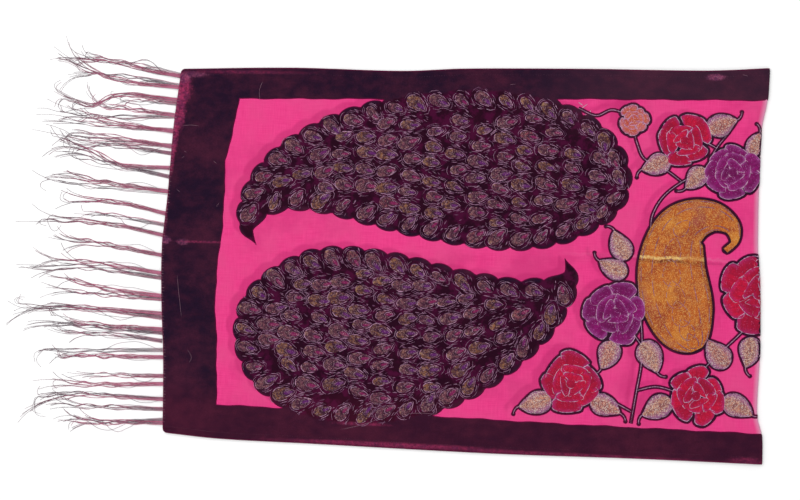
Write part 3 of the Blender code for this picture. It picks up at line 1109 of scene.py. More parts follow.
# x, y, length, width, heading of the tip in degrees, which way the tip curls
leaves = [
    (752, 184, 40, 30, 25, 1),
    (716, 114, 36, 26, 232, -1),
    (664, 132, 38, 28, 205, 1),
    (796, 160, 32, 22, 75, 1),
    (622, 22, 42, 28, 118, 1),
    (612, -8, 40, 27, 158, -1),
    (662, -128, 44, 32, 300, 1),
    (606, -126, 40, 29, 250, -1),
    (512, -192, 44, 30, 200, 1),
    (606, -196, 42, 28, 340, -1),
    (672, -192, 42, 30, 215, 1),
    (778, -190, 42, 29, 335, 1),
    (752, -118, 42, 31, 130, -1),
    (790, -116, 40, 28, 262, 1),
]
stems = [
    [(640, -216), (646, -176), (652, -136), (652, -100), (648, -60), (646, -20), (652, 20), (664, 50)],
    [(646, -172), (672, -166), (700, -172)],
    [(640, -200), (612, -186), (590, -178)],
    [(652, -112), (640, -96)],
    [(660, 34), (662, 62), (676, 88), (700, 108), (728, 124), (744, 154), (762, 178)],
    [(700, 108), (678, 124), (650, 138), (640, 158), (636, 172)],
    [(744, 154), (730, 162)],
    [(724, -150), (752, -120), (776, -96), (792, -78)],
    [(560, 206), (584, 196), (604, 204), (622, 200)],
]
motif = {
    "seedLength": 30.5,
    "seedWidth": 16.4,
    "seedSpacing": 30.0,
    "seedGap": 23.0,
    "seedInset": 13.0,    # how far inside the outline its row of seeds lies
    "seedClear": 18.5,    # no two seeds' middles are closer than this
    "outline": 3.7,       # dark pile left round each printed shape
    "flowerSeed": 14,
    "stemHalf": 2.9,
    "tipCurl": 15.0,      # the thin curled tip of a leaf
    "tipHalves": (3.3, 2.4),  # half widths of the pile under it
    "tipKnob": 3.3,
    "lineHalf": 0.56,     # half width of a silver line
    "lineHeight": 0.26,
    "undersideSlip": (-10.0, 6.0),  # the lower half lies a little off the upper one
}


def dropHalf(p, share):
    belly = p["belly"]
    head = np.sqrt(np.clip(1 - ((belly - share) / belly) ** 2, 0, 1))
    tail = np.cos(0.5 * math.pi * np.clip((share - belly) / (1 - belly), 0, 1)) ** p["tailing"]
    return p["halfWidth"] * np.where(share < belly, head, tail)


def dropSpine(p, count, close=0.0):
    # its stations are closest at the round end, and close is the share left off at both ends
    fine = curveThrough(p["spine"], 1.0)
    t = np.linspace(0, 1, count)
    share = close + (1 - 2 * close) * (0.35 * (1 - np.cos(math.pi * t)) / 2 + 0.65 * t**1.6)
    at = share * (len(fine) - 1)
    steps = np.arange(len(fine))
    spine, left = readRows(at, steps, fine), readRows(at, steps, sideways(fine)[0])
    return spine, left, np.maximum(dropHalf(p, share), p["tipHalf"])


def plainRing(p):
    spine, left, half = dropSpine(p, 260)
    return evenRing(np.vstack([spine - left * half[:, None], (spine + left * half[:, None])[::-1]]), 2.5)


def dropRing(p, grow=0.0):
    ring = grown(plainRing(p), grow, 2.5) if grow else plainRing(p)
    return scallop(ring, p["lobe"], p["lobeDepth"], np.array(p["spine"][-1], float))


def leafTip(x, y, length, heading, curl):
    # the thin curled line that a leaf's tip runs out into
    tip = np.array([x + 0.46 * length * math.cos(heading), y + 0.46 * length * math.sin(heading)])
    turn = heading + curl * 1.3 * np.linspace(0, 1, 7)
    steps = np.column_stack([np.cos(turn), np.sin(turn)]) * motif["tipCurl"] / 6
    return np.vstack([tip, tip + np.cumsum(steps[:-1], axis=0)])


def leafShape(x, y, length, width, degrees, curl, count):
    # a leaf's spine, half widths and curled tip
    heading = math.radians(degrees)
    spine, half = bladeShape(x, y, length, width, heading, 0.06, "leaf", count)
    return spine, half, leafTip(x, y, length, heading, curl)


def flowerShapes(x, y, radius, petals, chance, fine):
    # rings of petals, the inner ones shorter and higher, and a button in the middle
    shapes = []
    rings = [(petals, 1.00, 0.62, 0.0), (petals - 2, 0.66, 0.48, 0.20), (3, 0.36, 0.30, 0.40)]
    turn0 = x * 0.7
    for level, (count, reach, size, lift) in enumerate(rings):
        for k in range(count):
            a = turn0 + level * 0.5 + 2 * math.pi * k / count + chance.uniform(-0.16, 0.16)
            length = radius * size * chance.uniform(0.88, 1.10)
            width = 2 * math.pi * radius * reach / count * chance.uniform(0.82, 1.0)
            away = radius * reach * chance.uniform(0.88, 1.05) - length / 2
            px, py = x + away * math.cos(a), y + away * math.sin(a)
            bend = chance.uniform(-0.08, 0.08)
            petal = bladeShape(px, py, length, width, a, bend, "petal", 15 if fine else 9, 0.05)
            shapes.append((*petal, chance.random(), lift + 0.03 * (k % 3)))
    button = bladeShape(x, y, radius * 0.34, radius * 0.34, turn0, 0.0, "round", 9)
    shapes.append((*button, 0.95, 0.5))
    return shapes


def slipped(ring):
    # the same outline on the lower half
    fade = smooth((cloth["half"] - ring[:, 0] - 30) / 140)
    slip = np.array(motif["undersideSlip"])
    return turnedUnder(ring[:, :2] + slip * fade[:, None])


# Inner edges of the four borders on the upper half
endBorder = [
    (-262, 78), (-208, 75), (-125, 71), (-70, 66), (-14, 68),
    (35, 73), (126, 73), (155, 79), (204, 88), (262, 92),
]
sideBorders = {
    -1: [(-20, -212), (80, -214), (300, -216), (560, -220), (830, -222)],
    1: [(-20, 212), (80, 213), (300, 215), (560, 218), (830, 219)],
}


def borderInner(sign, x):
    rows = np.array(sideBorders[sign], float)
    return np.interp(x, rows[:, 0], rows[:, 1]) + 0.5 * np.sin(x / 13.0 + sign) + 0.35 * np.sin(x / 5.3)


def sideLine(sign):
    return sheetPoint(alongSteps, np.full(len(alongSteps), 0.0 if sign < 0 else 1.0))


def borderStrips():
    strips = []
    turns = (0.25, 0.5, 0.75)
    for sign in (-1, 1):
        x, y = sideLine(sign)
        inner = roundTheFold(x, borderInner(sign, x), turns)
        strips.append(np.vstack([roundTheFold(x, y, turns), inner[::-1]]))
    across = np.linspace(0, 1, 130)
    x, y = sheetPoint(np.zeros(130), across)
    rows = np.array(endBorder, float)
    innerX = np.interp(y, rows[:, 0], rows[:, 1]) + 0.5 * np.sin(y / 11.0) + 0.3 * np.sin(y / 4.1)
    outer, inner = np.column_stack([x, y]), np.column_stack([innerX, y])
    strips.append(np.vstack([outer, inner[::-1]]))
    strips.append(np.vstack([turnedUnder(outer), turnedUnder(inner)[::-1]]))
    return strips


def crossesFold(x, reach):
    # for a shape at x that reaches so far to each side
    return x + reach > cloth["half"] - 8


def motifOutlines(onLower=False):
    # what crosses the fold reaches the lower half by itself, so it has no copy there
    rings = [dropRing(p) for p in drops.values()]
    rings.append(dropRing(goldDrop, motif["outline"]))
    chance = random.Random(motif["flowerSeed"])
    for x, y, radius, petals, _ in flowers:
        shapes = flowerShapes(x, y, radius, petals, chance, True)
        if onLower and crossesFold(x, radius):
            continue
        for spine, half, _, lift in shapes:
            if lift < 0.1:
                rings.append(grown(shapeRing(spine, half), motif["outline"]))
        rings.append(circle(x, y, 0.6 * radius, 30))
    for leaf in leaves:
        if onLower and crossesFold(leaf[0], 0.6 * leaf[2]):
            continue
        spine, half, tip = leafShape(*leaf, 22)
        rings.append(grown(shapeRing(spine, half), motif["outline"] * 0.85))
        rings.append(shapeRing(tip, np.linspace(*motif["tipHalves"], len(tip))))
        rings.append(circle(*tip[-1], motif["tipKnob"], 8))
    for stem in stems:
        spine = curveThrough(stem, 4.0)
        rings.append(evenRing(shapeRing(spine, np.full(len(spine), motif["stemHalf"])), 3.0))
    return rings


def distancesTo(marks, points):
    # from each point to the nearest of the marks
    tree = KDTree(len(marks))
    for i, (x, y) in enumerate(marks):
        tree.insert((x, y, 0), i)
    tree.balance()
    return np.array([tree.find((x, y, 0))[2] for x, y in points])


# The pink ground: one thin closed sheet round the fold
ground = {
    "inset": 0.4,            # the pile reaches past the ground's edge
    "endRows": (0, 0.5, 1.4, 3.0),   # extra rows at the fringed ends
    "middle": 0.503,         # the fold along the middle, as a share across
    "middleReach": 0.024,
    "middleRows": 13,
    "shadowReach": 9.0,      # the distance from the lower pile is kept up to this
    "rimAt": 1.0,            # crest of the fold, past the end of the flat part, where the painted highlight lies
    "rimReach": 2.2,
}


def sheerSheet():
    def stationShares(count):
        rows = np.array(ground["endRows"]) / cloth["half"]
        return np.concatenate([rows, np.linspace(5.5 / cloth["half"], 1, count)])

    across = np.linspace(0, 1, cloth["cellsAcross"] + 1)
    middle, reach = ground["middle"], ground["middleReach"]
    closer = middle + np.linspace(-reach, reach, ground["middleRows"])
    across = np.union1d(across[np.abs(across - middle) > reach + 0.002], closer)
    xTop, yTop = sheetPoint(stationShares(cloth["cellsUpper"])[:, None], across[None, :])
    turns = np.linspace(0, 1, cloth["cellsFold"] + 1)[1:-1, None]
    xLow, yLow = sheetPoint(stationShares(cloth["cellsLower"])[::-1, None], across[None, :])
    x = np.vstack([xTop, xTop[-1] + cloth["foldArc"] * turns, toUnderside(xLow, yLow)])
    y = np.vstack([yTop, np.repeat(yTop[-1:], len(turns), axis=0), yLow])
    y = y - ground["inset"] * np.sign(y) * (np.abs(y) > cloth["width"] / 2 - 8)
    x[0] += ground["inset"]
    x[-1] -= ground["inset"]
    n, m = x.shape
    above = onCloth(x, y, 0.0).reshape(-1, 3)
    below = onCloth(x, y, -cloth["sheer"]).reshape(-1, 3)
    # how far each place is from the lower layer's pile, for the painted shade seen through the sheer, and how
    # near the fold's crest, for the painted highlight there
    flat = np.column_stack([x.ravel(), y.ravel()])
    mirrored = turnedUnder(flat)
    rings = [slipped(r) for r in motifOutlines(True)]
    gap = distancesTo(np.vstack(rings), mirrored)
    gap = np.where(insideAny(mirrored, rings), -gap, gap)
    gap = np.clip(gap, -ground["shadowReach"], ground["shadowReach"])
    past = flat[:, 0] - foldCentre(flat[:, 1])
    rim = np.exp(-(((past - ground["rimAt"]) / ground["rimReach"]) ** 2))
    layers = {"under": np.tile(gap, 2), "rim": np.tile(rim, 2)}
    return np.vstack([above, below]), gridFaces(n, m, n * m), layers


def gridFaces(n, m, under):
    # quads of a sheet n by m, its other face numbered from under, and the walls round it
    i, j = np.meshgrid(np.arange(n - 1), np.arange(m - 1), indexing="ij")
    a = (i * m + j).ravel()
    top = np.column_stack([a, a + m, a + m + 1, a + 1])
    rowEdge = np.arange(n - 1) * m
    right = np.column_stack([rowEdge + under, rowEdge + m + under, rowEdge + m, rowEdge])
    far = rowEdge + m - 1
    left = np.column_stack([far + m + under, far + under, far, far + m])
    col = np.arange(m - 1)
    start = np.column_stack([col + 1 + under, col + under, col, col + 1])
    end = col + (n - 1) * m
    finish = np.column_stack([end + under, end + 1 + under, end + 1, end])
    return np.vstack([top, top[:, ::-1] + under, right, left, start, finish])


points, faces, layers = sheerSheet()
sheer = newPiece("sheerGround", points, faces, looks["sheer"], layers)


pileShape = {
    "upperGrid": 4.6,
    "lowerGrid": 8.0,
    "foldRows": 8,       # rows of points right round the fold
    "clear": 0.9,        # no point of the filling is nearer to an outline
    "jitter": 0.6,       # how far a point of the grid is off its place
    "reach": 262,        # half the width that the points cover
    "inset": 1.3,        # where the pile reaches its full height
    "height": 0.70,
    "crush": 0.06,       # slow waves in its height
    "root": -0.35,       # the pile's lower face, under the ground
}


def pileFill(rings):
    # points inside the outlines: along their rims, on a grid, round the fold and along the crease
    fill = [ring - ringOut(ring) * pileShape["inset"] for ring in rings]
    foldLine = cloth["half"] + cloth["foldArc"] / 2
    reach, jitter = pileShape["reach"], pileShape["jitter"]
    for step, x0, x1, seed in (
        (pileShape["upperGrid"], -16, foldLine + 6, 1),
        (pileShape["lowerGrid"], foldLine + 12, 2 * foldLine + 16, 2),
    ):
        chance = np.random.default_rng(seed)
        gx, gy = np.meshgrid(np.arange(x0, x1, step), np.arange(-reach, reach, step * 0.9))
        gx = gx + (np.arange(gx.shape[0]) % 2)[:, None] * step / 2
        grid = np.column_stack([gx.ravel(), gy.ravel()]) + chance.uniform(-jitter, jitter, (gx.size, 2))
        past = grid[:, 0] - foldCentre(grid[:, 1])
        fill.append(grid[(past < -1.5) | (past > cloth["foldArc"] + 1.5)])
    rowY = np.arange(-reach, reach, 4.0)
    for turn in np.linspace(0, 1, pileShape["foldRows"]):
        fill.append(np.column_stack([foldCentre(rowY) + turn * cloth["foldArc"], rowY]))
    creaseX, creaseY = np.meshgrid(np.arange(-14, 800, 4.0), np.arange(-10, 15, 2.1))
    fill.append(np.column_stack([creaseX.ravel(), creaseY.ravel()]))
    fill = np.vstack(fill)
    fill = fill[insideAny(fill, rings)]
    return fill[distancesTo(np.vstack(rings), fill) > pileShape["clear"]]


def pileTriangles(rings):
    # triangles that fill the outlines, all facing up, and the edges of the whole
    edges, start = [], 0
    for ring in rings:
        edges += [(start + i, start + (i + 1) % len(ring)) for i in range(len(ring))]
        start += len(ring)
    flat = np.vstack([*rings, pileFill(rings)])
    made = delaunay_2d_cdt([Vector(p) for p in flat.tolist()], edges, [], 0, 1e-4, False)
    points = np.array([(p.x, p.y) for p in made[0]])
    tris = np.array(made[2], int)
    tris = tris[insideAny(points[tris].mean(axis=1), rings)]
    p, q, r = points[tris[:, 0]], points[tris[:, 1]], points[tris[:, 2]]
    area = (q[:, 0] - p[:, 0]) * (r[:, 1] - p[:, 1]) - (q[:, 1] - p[:, 1]) * (r[:, 0] - p[:, 0])
    tris[area < 0] = tris[area < 0][:, ::-1]
    ends = np.concatenate([tris[:, [0, 1]], tris[:, [1, 2]], tris[:, [2, 0]]])
    _, first, count = np.unique(np.sort(ends, axis=1), axis=0, return_index=True, return_counts=True)
    border = ends[first[count == 1]]
    used = np.unique(tris)
    renumber = np.full(len(points), -1)
    renumber[used] = np.arange(len(used))
    return points[used], renumber[tris], renumber[border]


def velvetPads():
    lower = [evenRing(slipped(r), 4.5) for r in motifOutlines(True)]
    points, tris, border = pileTriangles(borderStrips() + motifOutlines() + lower)
    # the pile rises from nothing at its edge
    middles = (points[border[:, 0]] + points[border[:, 1]]) / 2
    away = distancesTo(np.vstack([points[border[:, 0]], middles]), points)
    away[np.unique(border)] = 0
    crush = pileShape["crush"] * waves(points[:, 0], points[:, 1], 24, 21)
    height = (pileShape["height"] + crush) * smooth(away / pileShape["inset"])
    high = onCloth(points[:, 0], points[:, 1], height)
    low = onCloth(points[:, 0], points[:, 1], pileShape["root"])
    n = len(points)
    walls = np.column_stack([border[:, 0] + n, border[:, 1] + n, border[:, 1], border[:, 0]])
    faces = [*tris.tolist(), *(tris[:, ::-1] + n).tolist(), *walls.tolist()]
    inDrops = insideAny(points, [r for p in drops.values() for r in (plainRing(p), slipped(plainRing(p)))])
    layers = {"edge": np.tile(np.minimum(away, 8.0), 2), "field": np.tile(inDrops.astype(float), 2)}
    return np.vstack([high, low]), faces, layers


points, faces, layers = velvetPads()
velvet = newPiece("velvetPile", points, faces, looks["velvet"], layers)


# Domed pads of print on the pile: height of a rim on the cloth, and of the middle above it
prints = {
    "seed": (0.76, 0.28),
    "petal": (0.80, 0.38),
    "leaf": (0.73, 0.30),
    "gold": (0.84, 0.34),
    "sunk": 0.25,        # how far a pad's lower face lies under its rim
}


def printPads(shapes, kind, columns):
    # shapes: spine, half widths, a number of its own and an extra height for each
    base, dome = prints[kind]
    flat, local, faces = [], [], []
    start = 0
    v = np.linspace(-1, 1, columns)
    for spine, half, own, lift, *given in shapes:
        n = len(spine)
        left = given[0] if given else sideways(spine)[0]
        xy = spine[:, None, :] + left[:, None, :] * (half[:, None] * v[None, :])[:, :, None]
        ends = np.sqrt(np.clip(half / (half.max() + 1e-9), 0, 1))
        out = base + lift + dome * (1 - np.abs(v)[None, :] ** 2.4) * ends[:, None]
        under = np.full(out.shape, base - prints["sunk"])
        uu, vv = np.meshgrid(np.linspace(0, 1, n), v, indexing="ij")
        for level in (out, under):
            flat.append(np.concatenate([xy, level[:, :, None]], axis=2).reshape(-1, 3))
            local.append(np.column_stack([uu.ravel(), vv.ravel(), np.full(n * columns, own)]))
        faces.append(gridFaces(n, columns, n * columns) + start)
        start += 2 * n * columns
    return np.vstack(flat), np.vstack(faces), np.vstack(local)


def laidOut(flat):
    return onCloth(flat[:, 0], flat[:, 1], flat[:, 2])


def layPrint(name, made, look, under=False):
    # lays flat shapes on the cloth, for the lower half turned over with its outlines
    flat, faces, local = made
    if under:
        flat = np.column_stack([slipped(flat), flat[:, 2]])
        faces = [tuple(face)[::-1] for face in faces]
    newPiece(name, laidOut(flat), faces, look, {"local": local})


def seedPlaces(p, chance):
    # one seed in each lobe of the outline, then rows across the inside
    spine = curveThrough(p["spine"], 1.0)
    left, ahead = sideways(spine)
    length = len(spine) - 1
    placed = []

    def put(x, y, heading):
        if all(math.hypot(x - a, y - b) > motif["seedClear"] for a, b, _, _ in placed):
            size = chance.uniform(0.76, 1.10) * (1.06 - 0.20 * (x - 100) / 500)
            placed.append((x, y, heading + chance.uniform(-0.3, 0.3), size))

    ring = plainRing(p)
    out = ringOut(ring)
    lobes = lobeCount(ring, p["lobe"])
    for k in range(lobes):
        i = int((k + 0.5) / lobes * len(ring)) % len(ring)
        x, y = ring[i] - out[i] * motif["seedInset"]
        j = int(np.argmin(np.hypot(spine[:, 0] - x, spine[:, 1] - y)))
        if float(dropHalf(p, j / length)) > 15:
            facing = p["facing"] * ahead[j] - 0.8 * out[i]
            put(x, y, math.atan2(facing[1], facing[0]))
    rows = int(length // motif["seedSpacing"])
    for row in range(rows):
        share = (row + 0.5) / rows
        half = float(dropHalf(p, share))
        if half < 10:
            continue
        wide = half - motif["seedInset"] - 17
        gap = motif["seedGap"]
        i = int(share * length)
        narrowing = (float(dropHalf(p, min(share + 0.02, 1))) - half) / (0.02 * length)
        across = np.arange(-wide + (row % 2) * gap / 2, wide + 1, gap) if wide > gap / 2 else [0.0]
        for v in across:
            v += chance.uniform(-2.0, 2.0)
            x, y = spine[i][:2] + left[i] * v + ahead[i] * chance.uniform(-4.0, 4.0)
            heading = math.atan2(ahead[i][1], ahead[i][0]) + math.atan(narrowing * v / half) * 0.9
            put(x, y, heading + (math.pi if p["facing"] < 0 else 0.0))
    return placed


def tubeFaces(stations, sides, start=0):
    # quads round a tube with so many points at each station, and its two ends
    around = np.arange(sides)
    first = start + sides * np.arange(stations - 1)[:, None]
    a, b = first + around, first + (around + 1) % sides
    quads = np.stack([a, b, b + sides, a + sides], axis=-1).reshape(-1, 4).tolist()
    last = start + (stations - 1) * sides
    return [*quads, [start + c for c in reversed(range(sides))], [last + c for c in range(sides)]]


def strokeMesh(paths):
    # each path: points, half width, height it starts at, tone. A stroke is a low ridge of three sides
    flat, faces, local = [], [], []
    start = 0
    for line, half, base, tone in paths:
        left = sideways(line)[0]
        n = len(line)
        near = np.minimum(np.arange(n), np.arange(n)[::-1]) / max(1, n - 1)
        taper = np.clip(0.4 + 4 * near, 0, 1)
        wide = (half * taper)[:, None]
        low = np.full(n, base)
        rows = np.stack([
            np.column_stack([line - left * wide, low]),
            np.column_stack([line + left * wide, low]),
            np.column_stack([line, low + motif["lineHeight"] * taper]),
        ], axis=1)
        flat.append(rows.reshape(-1, 3))
        run = np.repeat(np.arange(n) / n, 3)
        local.append(np.column_stack([run, np.full(3 * n, tone), np.zeros(3 * n)]))
        faces += tubeFaces(n, 3, start)
        start += 3 * n
    return np.vstack(flat), faces, np.vstack(local)


def brokenRing(ring, chance, longest=11, gap=2):
    arcs, at = [], chance.randrange(len(ring))
    end = at + len(ring)
    while at < end - 3:
        length = min(chance.randint(4, longest), end - at)
        if length > 2:
            arcs.append(ring[np.arange(at, at + length) % len(ring)])
        at += length + chance.randint(0, gap)
    return arcs


# height where each kind of line starts
lineRest = {
    "seed": 0.74,
    "eye": 0.93,
    "barb": 0.70,
    "petal": 0.82,
    "leaf": 0.76,
    "leafTip": 0.66,
    "stem": 0.64,
    "goldRim": 0.84,
    "goldInner": 1.02,
    "goldSeed": 1.08,
}
seedLines = {
    # outlines round a seed: how far out, step, longest arc, gap, thickness
    "rounds": ((0.1, 2.0, 9, 3, 1.0), (2.7, 2.1, 7, 8, 0.8), (4.9, 2.3, 5, 12, 0.7)),
    "plainRounds": ((0.4, 5.0, 12, 2, 1.0),),
    "jitter": 0.28,
    "barbs": 11,
}


def seedOutlines(spine, half, rounds, chance):
    paths = []
    for grow, step, longest, gap, thick in rounds:
        ring = grown(shapeRing(spine, half), grow, step)
        reach = seedLines["jitter"]
        jitter = np.array([[chance.uniform(-reach, reach) for _ in range(2)] for _ in ring])
        for arc in brokenRing(ring + jitter, chance, longest, gap):
            tone = chance.uniform(0.3, 1.0) if grow < 1 else chance.uniform(0.0, 0.75)
            paths.append((arc, motif["lineHalf"] * thick * chance.uniform(0.55, 1.1), lineRest["seed"], tone))
    return paths


def seedEye(x, y, heading, length, width, bend, chance):
    # the small eye inside, towards the point
    ex, ey = x + 0.17 * length * math.cos(heading), y + 0.17 * length * math.sin(heading)
    eye = shapeRing(*bladeShape(ex, ey, 0.46 * length, 0.50 * width, heading, bend, "seed", 12))
    half = motif["lineHalf"] * 0.7
    arcs = brokenRing(evenRing(eye, 1.8), chance, 8, 2)
    return [(arc, half, lineRest["eye"], chance.uniform(0.1, 0.9)) for arc in arcs]


def seedBarb(x, y, heading, length, width, chance):
    # a short dash that fans out from a flank
    flank = chance.choice((-1, 1))
    back = chance.uniform(-0.35, 0.75) * length
    out = flank * (0.5 * width + chance.uniform(1.5, 6.5)) * (1.0 if back < 0.35 * length else 0.6)
    ox = x + back * math.cos(heading) - out * math.sin(heading)
    oy = y + back * math.sin(heading) + out * math.cos(heading)
    run = chance.uniform(2.5, 7.5)
    tilt = heading - flank * chance.uniform(0.05, 0.55)
    line = np.array([(ox + run * s * math.cos(tilt), oy + run * s * math.sin(tilt)) for s in (-0.5, 0, 0.5)])
    return line, motif["lineHalf"] * chance.uniform(0.5, 0.9), lineRest["barb"], chance.uniform(0, 0.8)


def seedPieces(name, fine, chance):
    for side, p in drops.items():
        shapes, paths = [], []
        for x, y, heading, size in seedPlaces(p, chance):
            length = motif["seedLength"] * size
            width = motif["seedWidth"] * size * chance.uniform(0.85, 1.12)
            bend = chance.uniform(-0.06, 0.06)
            spine, half = bladeShape(x, y, length, width, heading, bend, "seed", 13 if fine else 8)
            shapes.append((spine, half, chance.random(), 0.0))
            paths += seedOutlines(spine, half, seedLines["rounds" if fine else "plainRounds"], chance)
            if fine:
                paths += seedEye(x, y, heading, length, width, bend, chance)
                paths += [seedBarb(x, y, heading, length, width, chance) for _ in range(seedLines["barbs"])]
        layPrint(f"{name}Seeds_{side}", printPads(shapes, "seed", 8 if fine else 5), looks["seed"], not fine)
        layPrint(f"{name}SeedLines_{side}", strokeMesh(paths), looks["line"], not fine)
        print(name, side, len(shapes), "seeds", len(paths), "lines")


seedPieces("upper", True, random.Random(4))
seedPieces("lower", False, random.Random(8))


def flowerPieces(prefix, fine, chance):
    byDye = {}
    paths = []
    line = random.Random(77)
    for x, y, radius, petals, tone in flowers:
        shapes = flowerShapes(x, y, radius, petals, chance, fine)
        if crossesFold(x, radius) and not fine:
            continue
        byDye.setdefault(tone, []).extend(shapes)
        for spine, half, _, lift in shapes if fine else []:
            ring = evenRing(shapeRing(spine, half, -0.2), 1.6)
            for arc in brokenRing(ring, line, 18, 2):
                paths.append((arc, motif["lineHalf"], lineRest["petal"] + lift, 1.0))
    for tone, shapes in byDye.items():
        pads = printPads(shapes, "petal", 11 if fine else 6)
        layPrint(f"{prefix}Petals_{tone}", pads, looks[tone], not fine)
    return paths


def leafPieces(prefix, fine, chance):
    shapes, paths = [], []
    for leaf in leaves:
        if crossesFold(leaf[0], 0.6 * leaf[2]) and not fine:
            continue
        spine, half, tip = leafShape(*leaf, 16 if fine else 9)
        shapes.append((spine, half, chance.random(), 0.0))
        paths.append((tip, motif["lineHalf"], lineRest["leafTip"], 0.7))
        if fine:
            for arc in brokenRing(grown(shapeRing(spine, half), 0.1, 2.2), chance, 14, 3):
                paths.append((arc, motif["lineHalf"] * 0.9, lineRest["leaf"], chance.uniform(0.3, 1)))
    layPrint(prefix + "Leaves", printPads(shapes, "leaf", 9 if fine else 5), looks["leaf"], not fine)
    return paths


goldLines = {
    "shares": {0.58: "goldInner", 0.90: "goldRim"},   # two dashed rounds, as shares of the half width
    "seeds": range(23, 108, 14),                       # stations of the row of drops down its middle
    "seedSize": 0.34,
    "half": 0.55,
    "seedHalf": 0.5,
    "tone": 0.2,
}


def goldPieces(prefix, fine, chance):
    spine, left, half = dropSpine(goldDrop, 160 if fine else 70, 0.003)
    pad = printPads([(spine, half, 0.5, 0.0, left)], "gold", 35 if fine else 17)
    layPrint(prefix + "GoldDrop", pad, looks["gold"], not fine)
    paths, tone = [], goldLines["tone"]
    for share, rest in goldLines["shares"].items() if fine else ():
        for side in (-1, 1):
            path = curveThrough((spine + left * (half * share * side)[:, None])[7:-9:7], 2.5)
            for k in range(0, len(path) - 8, 12):
                paths.append((path[k:k + 10], goldLines["half"], lineRest[rest], tone))
    for k in goldLines["seeds"] if fine else ():
        heading = math.atan2(-left[k][0], left[k][1])
        size = goldLines["seedSize"] * half[k]
        ring = shapeRing(*bladeShape(*spine[k], size * 2.4, size * 1.5, heading, 0, "seed", 12), 0.3)
        for arc in brokenRing(evenRing(ring, 1.4), chance, 14, 1):
            paths.append((arc, goldLines["seedHalf"], lineRest["goldSeed"], tone))
    return paths


for prefix, fine in (("upper", True), ("lower", False)):
    # the same draws as for the outlines of their pile
    chance = random.Random(motif["flowerSeed"])
    paths = flowerPieces(prefix, fine, chance)
    paths += leafPieces(prefix, fine, chance)
    paths += goldPieces(prefix, fine, chance)
    paths += [(curveThrough(stem, 3.0), motif["lineHalf"], lineRest["stem"], 0.8) for stem in stems]
    layPrint(prefix + "Lines", strokeMesh(paths), looks["line"], not fine)


# The turned hems under the long edges, and the sewing
hem = {
    "width": 9.0,
    # the hem's section: share of its width, height from the ground
    "section": [(0.15, -0.30), (0.0, -0.6), (0.15, -1.05), (0.9, -0.95), (1.0, -0.5), (0.9, -0.30)],
    "stitch": 2.3,
    "pitch": 3.4,
    "bare": 8.0,         # far from any edge of pile
}
# half width, height on the upper half, height on the lower half
sewn = {
    "stitch": (0.28, 0.52, 0.45),
    "root": (0.35, 0.60, 0.25),
}


def hemMesh(sign):
    outer = roundTheFold(*sideLine(sign), (0.2, 0.4, 0.6, 0.8))
    flat = np.stack([
        np.column_stack([outer[:, 0], outer[:, 1] - sign * hem["width"] * share, np.full(len(outer), out)])
        for share, out in hem["section"]
    ], axis=1)
    faces = tubeFaces(*flat.shape[:2])
    return laidOut(flat.reshape(-1, 3)), faces if sign > 0 else [face[::-1] for face in faces]


for sign, name in ((-1, "hemNear"), (1, "hemFar")):
    points, faces = hemMesh(sign)
    newPiece(name, points, faces, looks["velvet"], {"edge": np.full(len(points), hem["bare"])})


def sewing():
    chance = random.Random(31)
    paths = []

    def sew(kind, line, upperTone, lowerTone):
        # the same thread shows on both halves
        half, upperHeight, lowerHeight = sewn[kind]
        paths.append((line, half, upperHeight, upperTone))
        paths.append((turnedUnder(line)[::-1], half, lowerHeight, lowerTone))

    for sign in (-1, 1):
        x = 4.0
        while x < cloth["half"] - 4:
            px, py = (float(a) for a in sheetPoint(x / cloth["half"], 0.0 if sign < 0 else 1.0))
            py -= sign * (hem["width"] + chance.uniform(-0.3, 0.3))
            reach = hem["stitch"] / 2
            line = np.array([(px + s * reach, py + chance.uniform(-0.15, 0.15)) for s in (-1, 0, 1)])
            sew("stitch", line, 0.15, 0.15)
            x += hem["pitch"] * chance.uniform(0.92, 1.08)
    y = -250.0
    while y < 250:
        px, py = (float(a) for a in sheetPoint(0.0, y / cloth["width"] + 0.5))
        reach = chance.uniform(2.4, 4.6)
        slant = chance.uniform(-0.9, 0.9)
        line = np.array([(px + 0.3 + s * reach, py + slant * s) for s in (0.0, 0.5, 1.0)])
        sew("root", line, chance.uniform(0.2, 0.7), chance.uniform(0.35, 1.0))
        y += chance.uniform(3.4, 5.2)
    return paths


# Loose ends, lint and scratches that lie on the pile
lint = [
    [(10, -36), (14, -64), (19, -95)],
    [(8, 174), (20, 175), (32, 174)],
    [(12, 138), (16, 136)],
    [(55, 125), (60, 121)],
    [(4, 84), (9, 80)],
    [(121, 238), (117, 226), (118, 212)],
    [(337, -216), (360, -214), (385, -215)],
    [(9, 128), (13, 131)],
    [(30, -140), (36, -150), (33, -158)],
    [(62, 60), (66, 66)],
    [(250, -241), (280, -233), (307, -222)],
    [(466, 237), (474, 238)],
    [(776, 254), (784, 252)],
    [(741, 251), (748, 248)],
]
scratches = [
    [(572, 212), (565, 205), (573, 200), (566, 193), (572, 187)],
    [(560, 214), (566, 210)],
    [(577, 203), (574, 198)],
]
paths = sewing()
# with the half width, height and tone of each
for lines, marks in ((lint, (0.28, 0.62, 0.32)), (scratches, (0.7, 0.0, 1.0))):
    paths += [(curveThrough(line, 2.0), *marks) for line in lines]
flat, faces, local = strokeMesh(paths)
newPiece("stitchesAndLint", laidOut(flat), faces, looks["seam"], {"local": local})


